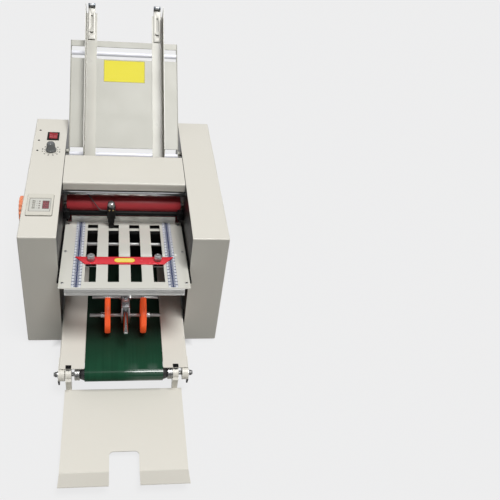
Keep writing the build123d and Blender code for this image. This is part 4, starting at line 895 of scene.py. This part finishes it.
def beltLoop(radius):
    loop = arc(conveyor["front"], conveyor["z"], radius, 90, 270, 40)
    return loop + arc(conveyor["rear"], conveyor["z"], radius, 270, 450, 40)


def beltRoller(bore):
    half, side = conveyor["rollerHalf"], conveyor["side"]
    mirrored = [(radius, 2 * half - height) for radius, height in side[::-1]]
    profile = [(bore, 0)] + side + mirrored + [(bore, 2 * half)]
    return turnedShape(profile, steps=64, closed=bore > 0), at(-half, 0, 0) @ alongX


piece = Piece("conveyorBelt", "frame", "belt_green", beltGreen)
loops = beltLoop(conveyor["outer"]), beltLoop(conveyor["inner"])
piece.add(band(*loops, 2 * conveyor["half"]), at(-conveyor["half"], 0, 0) @ sideOn)
piece.finish("conveyor_belt")

piece = Piece("conveyorFrontRoller", "conveyor_front_roller", "black_rubber", blackRubber)
shape, across = beltRoller(conveyor["bore"])
piece.add(shape, frontAxis @ across)
piece.finish("conveyor_front_roller")

piece = Piece("conveyorRearRoller", "conveyor_rear_roller", "black_rubber", blackRubber)
shape, across = beltRoller(0)
piece.add(shape, rearAxis @ across)
left, right, radius = conveyor["rearShaft"]
half = conveyor["rollerHalf"]
for near, far in ((left, -half), (half, right)):
    piece.add(rod(radius, far - near), rearAxis @ at(near, 0, 0) @ alongX, turnedSteel)
pulleyPlace = rearAxis @ at(conveyor["pulleyStart"], 0, 0) @ alongX
piece.add(turnedShape(conveyor["pulley"], closed=True), pulleyPlace, gearSteel)
piece.finish("conveyor_rear_roller")

piece = Piece("frontRollerShaft", "frame", "chrome", turnedSteel)
half = conveyor["frontShaft"]
piece.add(rod(conveyor["shaftRadius"], 2 * half, edge=0.8), frontAxis @ at(-half, 0, 0) @ alongX)
size, bore, thick = conveyor["nut"]
nutOutline = [arc(0, 0, size, 0, 300, 5), arc(0, 0, bore, 0, 345, 23)]
tilt = turned(conveyor["collarScrewTilt"], "X")
for side in (-1, 1):
    away = frontAxis @ outward[side]
    piece.add(turnedShape(conveyor["collar"], steps=56, closed=True), away)
    piece.add(collar(*conveyor["washer"]), away, zinc)
    piece.add(plate(nutOutline, thick, edge=0.4), away @ at(0, 0, conveyor["washer"][3]), darkSteel)
    screwPlace = frontAxis @ at(side * conveyor["collarScrewX"], 0, 0) @ tilt
    piece.add(turnedShape(conveyor["collarScrew"], steps=24), screwPlace, blackOxide)
piece.finish("front_roller_shaft")

# Painted shade: dark slabs over the tray hooks, and dark pointed ends under the ears
earShadeMarks = {
    "hookShadeSpots": (-111.5, 94.6), "hookShadeSlab": (0, 11, -128.2, -119.5, 71, 71.6), "tips": (-126.4, 123.4),
    "tip": [(-136, 42.5), (-129.5, 24), (-126.5, 24), (-120, 42.5)], "tipWidth": 3.0,
}
piece = Piece("earShadeMarks", "frame", "black_plastic", blackOxide)
for start in earShadeMarks["hookShadeSpots"]:
    piece.add(slab(*earShadeMarks["hookShadeSlab"], edge=0.1), at(start, 0, 0))
for start in earShadeMarks["tips"]:
    piece.add(plate([earShadeMarks["tip"]], earShadeMarks["tipWidth"], edge=0.15), at(start, 0, 0) @ sideOn)
piece.finish()

tilt = turned(conveyor["hookScrewTilt"], "X")
for x, word in conveyor["hookScrews"]:
    piece = Piece("hookScrew" + word, "receiving_tray", "chrome", blackOxide)
    screwPlace = frontAxis @ at(x, 0, 0) @ tilt
    piece.add(turnedShape(conveyor["hookScrew"], steps=24), screwPlace)
    piece.add(turnedShape(conveyor["hookWasher"], steps=28), screwPlace, zinc)
    piece.finish()
print("conveyor made")


# Exit wheels and their carriage

exitWheels = {
    "x": 3.0, "y": -21.0, "z": 106.0, "offset": 35.5, "width": 11.0, "ribs": 5,
    "rib": (9, 29.2, -1.3, 1.3, 0.9, 10.1), "shaft": (-68, 73, 3.5), "collar": (3.5, 6, 0, 8, 0.5),
    "screw": [(0, 5.4), (1.4, 5.4), (1.4, 6.2), (0, 6.2)], "screwOffset": 4,
    "side": [  # From the bore to the middle of the tread, on one face
        (3.5, 0.2), (8.6, 0.2), (9.2, 0.8), (9.4, 2.6), (28.2, 2.6), (29, 2.0), (29.3, 0.5), (30.2, 0),
        (33.6, 0), (34.9, 0.35), (35.6, 1.2), (36, 3.2),
    ],
}
nearHalf = exitWheels["side"]
wheelProfile = nearHalf + [(radius, exitWheels["width"] - height) for radius, height in nearHalf[::-1]]
wheelAxis = at(exitWheels["x"], exitWheels["y"], exitWheels["z"])
piece = Piece("exitWheels", "exit_wheels", "orange_rubber", orangeRubber)
for side in (-1, 1):
    start = side * exitWheels["offset"] - exitWheels["width"] / 2
    wheelPlace = wheelAxis @ at(start, 0, 0) @ alongX
    piece.add(turnedShape(wheelProfile, steps=80, closed=True), wheelPlace)
    for around in spokes(exitWheels["ribs"]):
        piece.add(slab(*exitWheels["rib"], edge=0.4), wheelPlace @ around)
piece.finish("exit_wheels")

piece = Piece("exitWheelShaft", "exit_wheels", "chrome", wornRod)
left, right, radius = exitWheels["shaft"]
piece.rod((left, exitWheels["y"], exitWheels["z"]), alongX, radius, right - left, edge=0.7)
for side in (-1, 1):
    face = side * (exitWheels["offset"] + exitWheels["width"] / 2)
    piece.add(collar(*exitWheels["collar"]), wheelAxis @ at(face, 0, 0) @ outward[side], zinc)
    screwPlace = wheelAxis @ at(face + side * exitWheels["screwOffset"], 0, 0)
    piece.add(turnedShape(exitWheels["screw"], steps=12), screwPlace, blackOxide)
piece.finish("exit_wheel_shaft")

carriage = {
    "half": 8.5, "block": (-21.0, 24.0, 108.5, 130.0), "forkThick": 3,
    "fork": [
        (-31, 94), (-29.8, 91.2), (-27, 90), (-15, 90), (-12.2, 91.2), (-11, 94), (-11, 126), (-21, 126),
        (-31, 114.5),
    ],
    "bush": [(4.2, 0), (6.6, 0), (6.6, 0.5), (6.0, 0.9), (4.2, 0.9)], "rod": (18.0, 117.5, 3.0, 58.5),
    "rodNut": [(3, 0), (5, 0), (5, 3), (4.6, 3.4), (3, 3.4)],
    "screw": (-8.0, 130.0), "flutes": (24, 0.6, 5.7),
    "screwProfile": [
        (0, 0), (4.4, 0), (4.4, 1.4), (5.4, 1.4), (6, 2), (6, 9.8), (5.3, 10.7), (4.6, 11), (1.9, 11),
        (1.7, 9.2), (0, 9.2),
    ],
    "capScrews": (6.0, 17.0), "capScrew": (2.6, 1.6),
}
middleX = exitWheels["x"]
across = at(middleX, 0, 0)
half = carriage["half"]
piece = Piece("wheelCarriage", "wheel_carriage", "bar_aluminium", castAlloy)
piece.add(slab(-half, half, *carriage["block"], edge=1.8, segments=3), across)
y, z, radius, length = carriage["rod"]
for side, start in ((-1, -half), (1, half - carriage["forkThick"])):
    piece.add(plate([carriage["fork"]], carriage["forkThick"], edge=0.5), across @ at(start, 0, 0) @ sideOn)
    face = at(side * half, 0, 0)
    piece.add(turnedShape(carriage["bush"], steps=32, closed=True), wheelAxis @ face @ outward[side], zinc)
    away = at(middleX + side * half, y, z) @ outward[side]
    piece.add(rod(radius, length, edge=0.5), away, wornRod)
    piece.add(turnedShape(carriage["rodNut"], steps=6, closed=True), away, wornRod)
y, z = carriage["screw"]
piece.add(fluted(carriage["screwProfile"], *carriage["flutes"]), at(middleX, y, z), zinc)
for y in carriage["capScrews"]:
    piece.screwHead(at(middleX, y, z), *carriage["capScrew"], zinc, blackOxide)
piece.finish("wheel_carriage")

centreRod = {"start": (-82, 118), "length": 189, "radius": 4.0, "hangerHalf": 6, "hanger": (116, 9, 109, 177)}
piece = Piece("centreRod", "frame", "chrome", chrome)
piece.rod((middleX, *centreRod["start"]), alongY, centreRod["radius"], centreRod["length"], edge=0.9)
y, radius, low, high = centreRod["hanger"]
hanger = [(y - radius, low), (y + radius, low)] + arc(y, high, radius, 0, 180, 14)
half = centreRod["hangerHalf"]
piece.add(plate([hanger], 2 * half, edge=0.8), at(middleX - half, 0, 0) @ sideOn, castAlloy)
piece.finish("centre_rod")
print("exit wheels made")


# Guide extensions

extension = {
    "inner": 67.3, "outer": 83.4, "low": 259.8, "high": 346.0, "base": 2.1, "thick": 2.0, "corner": 1.2,
    "slot": (277.0, 320.6, 2.5), "lug": 4.0, "lugHeight": 6.5, "bar": 3.8,
}
near, far, high = extension["inner"], extension["outer"], extension["high"]
low, base = extension["low"], extension["base"]
for side, word in ((-1, "left"), (1, "right")):
    flip = feedBoard @ Matrix.Diagonal((side, 1, 1, 1))
    node = word + "_guide_extension"
    piece = Piece(word + "GuideExtension", node, "chrome", stripMetal)
    slotLow, slotHigh, half = extension["slot"]
    middle = (near + far) / 2
    outline = roundedBox(near, far, low, high, extension["corner"], steps=4)
    hole = roundedBox(middle - half, middle + half, slotLow, slotHigh, half, steps=8)
    piece.add(plate([outline, hole], extension["thick"], edge=0.3), flip @ at(0, 0, base))
    lug, lugTop = extension["lug"], base + extension["lugHeight"]
    piece.add(slab(near, far, high - lug, high, base, lugTop), flip)
    bar = rod(extension["bar"], far - near, edge=0.8, steps=40)
    piece.add(bar, flip @ at(near, high - lug / 2, lugTop) @ alongX, tipMetal)
    piece.finish(node)


# Label left bare but for its printed frame

label = {"half": 47.0, "low": 157.8, "high": 212.1, "thick": 0.08, "ink": 0.03, "line": 1.1, "inset": 0.2}


def labelBox(inset, radius):
    half = label["half"] - inset
    return roundedBox(-half, half, label["low"] + inset, label["high"] - inset, radius)


piece = Piece("boardLabel", "frame", "painted_cream", labelYellow)
piece.add(plate([labelBox(0, 1.5)], label["thick"]), feedBoard)
printed = [labelBox(label["inset"], 1.0), labelBox(label["inset"] + label["line"], 0.6)]
piece.add(plate(printed, label["ink"]), feedBoard @ at(0, 0, label["thick"]), labelLine)
piece.finish()


# Speed knob and its dial

knob = {
    "x": -157.0, "y": 293.5, "base": 291.0, "flutes": (16, 0.9, 8.0, 6),
    "skirt": [
        (0, 0), (11.0, 0), (11.4, 0.4), (11.4, 2.6), (10.9, 3.6), (9.9, 4.6), (9.6, 5.4), (0, 5.4),
    ],
    "grip": [
        (0, 5.2), (9.7, 5.2), (9.3, 6.6), (8.7, 15.8), (8.2, 17.2), (7.3, 18), (6.7, 18), (6.3, 17.5),
        (0, 17.5),
    ],
    "marks": ((-0.5, 0.5, -6.0, -2.0, 17.4, 17.8), (-0.5, 0.5, -11.0, -9.4, 3.2, 3.9)),
    "stem": (3.0, 8.4), "stemLow": 282.8,
}
piece = Piece("speedKnob", "speed_knob", "knob_black", knobGrey)
knobPlace = at(knob["x"], knob["y"], knob["base"])
piece.add(turnedShape(knob["skirt"], steps=64), knobPlace)
piece.add(fluted(knob["grip"], *knob["flutes"]), knobPlace)
for mark in knob["marks"]:
    piece.add(slab(*mark, edge=0.1), knobPlace, whiteMark)
piece.add(rod(*knob["stem"], edge=0.3, steps=20), at(knob["x"], knob["y"], knob["stemLow"]))
piece.finish("speed_knob")

dial = {
    "tick": (13.0, 15.2, -0.8, 0.8), "halfTick": (13.0, 14.2, -0.3, 0.3), "thick": 0.06, "count": 10,
    "start": 45.0, "step": 30.0, "numbers": 18.8, "size": 6.2, "bold": 0.2,
}
piece = Piece("speedDial", "frame", "painted_cream", printInk)
dialPlace = at(knob["x"], knob["y"], onBoxTop)
for number in range(dial["count"]):
    turn = dial["start"] - number * dial["step"]
    around = dialPlace @ turned(turn, "Z")
    piece.add(slab(*dial["tick"], 0, dial["thick"], edge=0), around)
    if number:
        halfWay = around @ turned(dial["step"] / 2, "Z")
        piece.add(slab(*dial["halfTick"], 0, dial["thick"], edge=0), halfWay)
    figure = lettering(str(number), dial["size"], dial["thick"], dial["bold"])
    spot = turned(turn, "Z") @ at(dial["numbers"], 0, dial["thick"] / 2) @ turned(-turn, "Z")
    piece.add(figure, dialPlace @ spot)
piece.finish()


# Screws of the covers, on top and at the back

coverScrews = {
    "topX": -186.0, "topY": (376.0, 333.5, 292.7), "top": (2.3, 0.9),
    "backX": (135.0, 190.0), "backZ": (24.0, 274.0), "backY": 428, "back": (3.2, 1.3),
}
piece = Piece("topScrews", "frame", "black_plastic", blackOxide)
for y in coverScrews["topY"]:
    piece.screwHead(at(coverScrews["topX"], y, onBoxTop), *coverScrews["top"], blackOxide, blackPlastic)
piece.finish()


# Counter: gasket, face plate with a printed frame, surround of the window, digits and button marks

counter = {
    "gasket": ((-189.5, -138.5, 63.2, 132.5, 3.3), (-187.0, -141.0, 66.0, 130.0, 2.0)), "gasketThick": 0.5,
    "face": (-186.0, -142.0, 74.0, 118.0), "floor": 292.2, "thick": 0.15, "frame": (1.6, 2.3), "ink": 0.05,
    "window": (-158.3, -147.0, 84.5, 108.5), "surround": (0.9, 0.3),
    "buttons": -176.0, "firstButton": 86.0, "buttonPitch": 7.2, "buttonHole": 2.9,
    "dash": (-2.2, 2.2, -0.8, 0.8, 293.68, 293.76),
    "marks": ((-170.6, -168.2, -0.35, 0.35, 292.35, 292.42), (-166.2, -163.4, -1.4, 1.4, 292.35, 292.42)),
    "rows": ((-149.6, "1250"), (-155.6, "0800")), "digitsFrom": 105.4, "digitPitch": 5.9,
    "digitSize": (4.0, 3.1), "segmentHalf": 0.35, "segmentReach": (0.19, 0.38), "digitHeight": (292.2, 292.3),
    "segments": {"0": "abcdef", "1": "bc", "2": "abged", "5": "afgcd", "8": "abcdefg"},
}
buttonSpots = [counter["firstButton"] + index * counter["buttonPitch"] for index in range(4)]


# Box grown by a margin on all sides, with rounded corners
def grown(box, margin, radius):
    x0, x1, y0, y1 = box
    return roundedBox(x0 - margin, x1 + margin, y0 - margin, y1 + margin, radius)


piece = Piece("counterGasket", "frame", "black_plastic", blackPlastic)
gasket = [roundedBox(*box) for box in counter["gasket"]]
piece.add(plate(gasket, counter["gasketThick"]), at(0, 0, onBoxTop))
piece.finish()

piece = Piece("counterFace", "frame", "counter_cream", counterFace)
x, half = counter["buttons"], counter["buttonHole"]
window = grown(counter["window"], 0, 0.6)
holes = [roundedBox(x - half, x + half, y - half, y + half, 0.5) for y in buttonSpots]
face = plate([grown(counter["face"], -0.4, 0.8), window] + holes, counter["thick"])
piece.add(face, at(0, 0, counter["floor"]))
onFace = at(0, 0, counter["floor"] + counter["thick"])
outside, inside = counter["frame"]
printed = [grown(counter["face"], -outside, 1.2), grown(counter["face"], -inside, 0.8)]
piece.add(plate(printed, counter["ink"]), onFace, faceLine)
margin, height = counter["surround"]
piece.add(plate([grown(counter["window"], margin, 0.9), window], height), onFace, faceLine)
for y in buttonSpots:
    for mark in counter["marks"]:
        piece.add(slab(*mark, edge=0), at(0, y, 0), faceLine)
piece.finish()

for index, y in enumerate(buttonSpots):
    piece = Piece("buttonDash%d" % (index + 1), "counter_button_%d" % (index + 1), "button_grey", printInk)
    piece.add(slab(*counter["dash"], edge=0), at(x, y, 0))
    piece.finish()


# Segments of one digit lying on its side: its height runs along X and its width along Y
def digit(figure, x, y):
    tall, wide = counter["digitSize"]
    reachX, reachY = counter["segmentReach"]
    thin = counter["segmentHalf"]
    spots = {
        "a": (tall, wide / 2), "g": (tall / 2, wide / 2), "d": (0, wide / 2), "f": (tall * 0.75, 0),
        "b": (tall * 0.75, wide), "e": (tall * 0.25, 0), "c": (tall * 0.25, wide),
    }
    for name in counter["segments"][figure]:
        longX, longY = (thin, wide * reachY) if name in "agd" else (tall * reachX, thin)
        up, across = spots[name]
        segmentX, segmentY = x - tall / 2 + up, y + wide / 2 - across
        ends = segmentX - longX, segmentX + longX, segmentY - longY, segmentY + longY
        yield slab(*ends, *counter["digitHeight"], edge=0)


piece = Piece("counterDigits", "frame", "display_red", litSegment)
for row, figures in counter["rows"]:
    for index, figure in enumerate(figures):
        for segment in digit(figure, row, counter["digitsFrom"] - index * counter["digitPitch"]):
            piece.add(segment)
piece.finish()


# Switch: black surround and a rocker with a shallow V, each half with raised ribs painted lighter red as
# highlights

switch = {
    "x": -156.0, "y": 350.0, "half": (12.9, 15.1), "thick": 3.0, "opening": (9.6, 12.4),
    "body": (-11.4, 11.4, -9.7, 9.7, 262.0, 288.4), "pivot": 290.6, "radius": 9.7, "rise": 2.6, "low": -1.0,
    "gap": 0.5, "tilt": 5.0, "marks": ((1.0, 7.6, -7.0, -4.4), (1.0, 7.6, 0.6, 2.0)),
    "markHeight": (-0.1, 0.15),
}


def aroundMiddle(halfX, halfY, radius):
    return roundedBox(-halfX, halfX, -halfY, halfY, radius)


piece = Piece("switchHousing", "frame", "black_plastic", blackPlastic)
surround = [aroundMiddle(*switch["half"], 0.5), aroundMiddle(*switch["opening"], 0.8)]
piece.add(plate(surround, switch["thick"], edge=0.4), at(switch["x"], switch["y"], onBoxTop))
piece.add(slab(*switch["body"], edge=0.5), at(switch["x"], switch["y"], 0))
piece.finish("switch_housing")

piece = Piece("rockerCap", "rocker", "rocker_red", rockerRed)
tilt, rise, low = switch["tilt"], switch["rise"], switch["low"]
rockerPlace = at(switch["x"], switch["y"], switch["pivot"]) @ turned(tilt, "Y")
reach = sqrt(switch["radius"] ** 2 - rise ** 2) - switch["gap"]
raised = rise + reach * tan(radians(tilt))
half = switch["opening"][1] - switch["gap"]
profile = [(0, rise), (reach, raised), (reach, low), (-reach, low), (-reach, raised)]
piece.add(plate([profile], 2 * half, edge=0.3), rockerPlace @ at(0, half, 0) @ turned(90, "X"))
# Ribs in lighter red on each half: painted highlight bands
for side in (-1, 1):
    face = rockerPlace @ at(0, 0, rise) @ turned(-side * tilt, "Y")
    for start, end, y0, y1 in switch["marks"]:
        piece.add(slab(side * start, side * end, y0, y1, *switch["markHeight"], edge=0.08), face, rockerHighlight)
piece.finish("rocker")


# Pins of the power inlet, and the screws at the back

inlet = {
    "x": -162.5, "z": 62.0, "pins": ((-7.0, -2.0), (0.0, 2.0), (7.0, -2.0)),
    "pin": (-1.15, 1.15, 411.0, 418.9, -2.15, 2.15),
    "screws": (-18.0, 18.0), "screwY": 430.5, "screw": (2.4, 0.9),
}
piece = Piece("inletPins", "frame", "chrome", brass)
for dx, dz in inlet["pins"]:
    piece.add(slab(*inlet["pin"], edge=0.4), at(inlet["x"] + dx, 0, inlet["z"] + dz))
piece.finish()

piece = Piece("backScrews", "frame", "chrome", zinc)
for side in (-1, 1):
    for x in coverScrews["backX"]:
        for z in coverScrews["backZ"]:
            piece.screwHead(at(side * x, coverScrews["backY"], z) @ alongY, *coverScrews["back"])
for dx in inlet["screws"]:
    piece.screwHead(at(inlet["x"] + dx, inlet["screwY"], inlet["z"]) @ alongY, *inlet["screw"])
piece.finish()
print("controls made")


# Floor, light and camera

stage = {
    "reach": 14.0, "pale": (0.06, 0.06, 0.06), "under": (0.03, 0.03, 0.03), "dim": (0.13, 0.129, 0.124),
    "glow": (0.787, 0.787, 0.792), "air": (0.262, 0.264, 0.252), "tent": (0.845, 0.845, 0.85),
    "middle": (frameShift[0], 0.095), "footprint": (0.10, 0.18), "blend": 0.05,
}
panel = {"toRight": (0.02, 0.09), "toBack": (0.12, 0.4), "height": 0.5, "shade": (4.0, 4.0, 4.0)}
# Shades from straight below to straight above
walls = [
    (0.0, (0.5, 0.5, 0.5)), (0.5, (0.5, 0.5, 0.5)), (0.6, (0.16, 0.165, 0.17)), (0.7, (0.14, 0.145, 0.15)),
    (0.78, (0.75, 0.75, 0.76)), (0.9, (0.95, 0.95, 0.96)), (0.97, (0.35, 0.35, 0.36)), (1.0, (0.2, 0.2, 0.2)),
]


# Studio as polished parts see it: dark overhead, bright tent around it, darker walls, pale ground
def studio(graph):
    toRight, toBack, height = (graph.axis(index, "Generated") for index in range(3))
    inPanel = height > panel["height"]
    for wire, (low, high) in ((toRight, panel["toRight"]), (toBack, panel["toBack"])):
        inPanel = inPanel * (wire > low) * (wire < high)
    shades = graph.node("ShaderNodeValToRGB", {"stops": walls}, {"Fac": height * 0.5 + 0.5})
    return graph.mixed(inPanel, shades, panel["shade"])


def seenDirectly(graph):
    rays = ("Is Camera Ray", "Is Glossy Ray", "Is Transmission Ray")
    camera, glossy, through = (graph.node("ShaderNodeLightPath", output=name) for name in rays)
    return camera.largest(glossy).largest(through)


# Floor: pale where it is looked at, dim as a light on the object, with painted shade under the machine
floorFinish = Finish("floorFinish", stage["pale"], 0.9, Emission_Strength=1.0, Specular_IOR_Level=0.0)
direct = seenDirectly(floorFinish)
beyondX, beyondY = (
    (floorFinish.axis(index) - stage["middle"][index]).size() - stage["footprint"][index] for index in (0, 1)
)
# No glow and a near-black colour inside the machine's footprint: painted shade
outside = floorFinish.fade(beyondX.largest(beyondY), 0.0, stage["blend"])
seenFloor = floorFinish.mixed(outside, stage["under"], stage["pale"])
floorFinish.set("Base Color", floorFinish.mixed(direct, stage["dim"], seenFloor))
floorFinish.set("Emission Color", floorFinish.mixed(direct * outside, (0, 0, 0), stage["glow"]))
shape = bmesh.new()
bmesh.ops.create_grid(shape, x_segments=4, y_segments=4, size=stage["reach"])
floor = placed("floor", shape, floorFinish)

world = bpy.data.worlds.new("studio")
scene.world = world
world.use_nodes = True
sky = Graph(world.node_tree)
backdrop = world.node_tree.nodes["Background"]
glossy = sky.node("ShaderNodeLightPath", output="Is Glossy Ray")
seen = sky.mixed(glossy, stage["tent"], studio(sky))
sky.feed(backdrop.inputs["Color"], sky.mixed(seenDirectly(sky), stage["air"], seen))
backdrop.inputs["Strength"].default_value = 1.0

softbox = {"energy": 2.62, "angle": 24, "colour": (1.0, 0.995, 0.985), "from": (0.16, -0.19, 0.97)}
sun = bpy.data.lights.new("softbox", "SUN")
sun.energy = softbox["energy"]
sun.angle = radians(softbox["angle"])
sun.color = softbox["colour"]
lamp = bpy.data.objects.new("softbox", sun)
scene.collection.objects.link(lamp)
lamp.rotation_mode = "QUATERNION"
lamp.rotation_quaternion = Vector(softbox["from"]).to_track_quat("Z", "Y")

scene.view_settings.view_transform = "Standard"
eye = {
    "place": (-0.0108, -1.08768, 1.0949), "pitch": 40.38, "yaw": 9.71, "roll": 6.75, "lens": 48.319,
    "sensor": 36, "shift": 0.10, "clip": (0.05, 60),
}
lens = bpy.data.cameras.new("camera")
lens.lens = eye["lens"]
lens.sensor_width = eye["sensor"]
lens.shift_x = eye["shift"]
lens.clip_start, lens.clip_end = eye["clip"]
camera = bpy.data.objects.new("camera", lens)
scene.collection.objects.link(camera)
aimed = turned(-eye["yaw"], "Z") @ turned(90 - eye["pitch"], "X") @ turned(eye["roll"], "Z")
camera.matrix_world = at(*eye["place"]) @ aimed
scene.camera = camera
print("stage set")
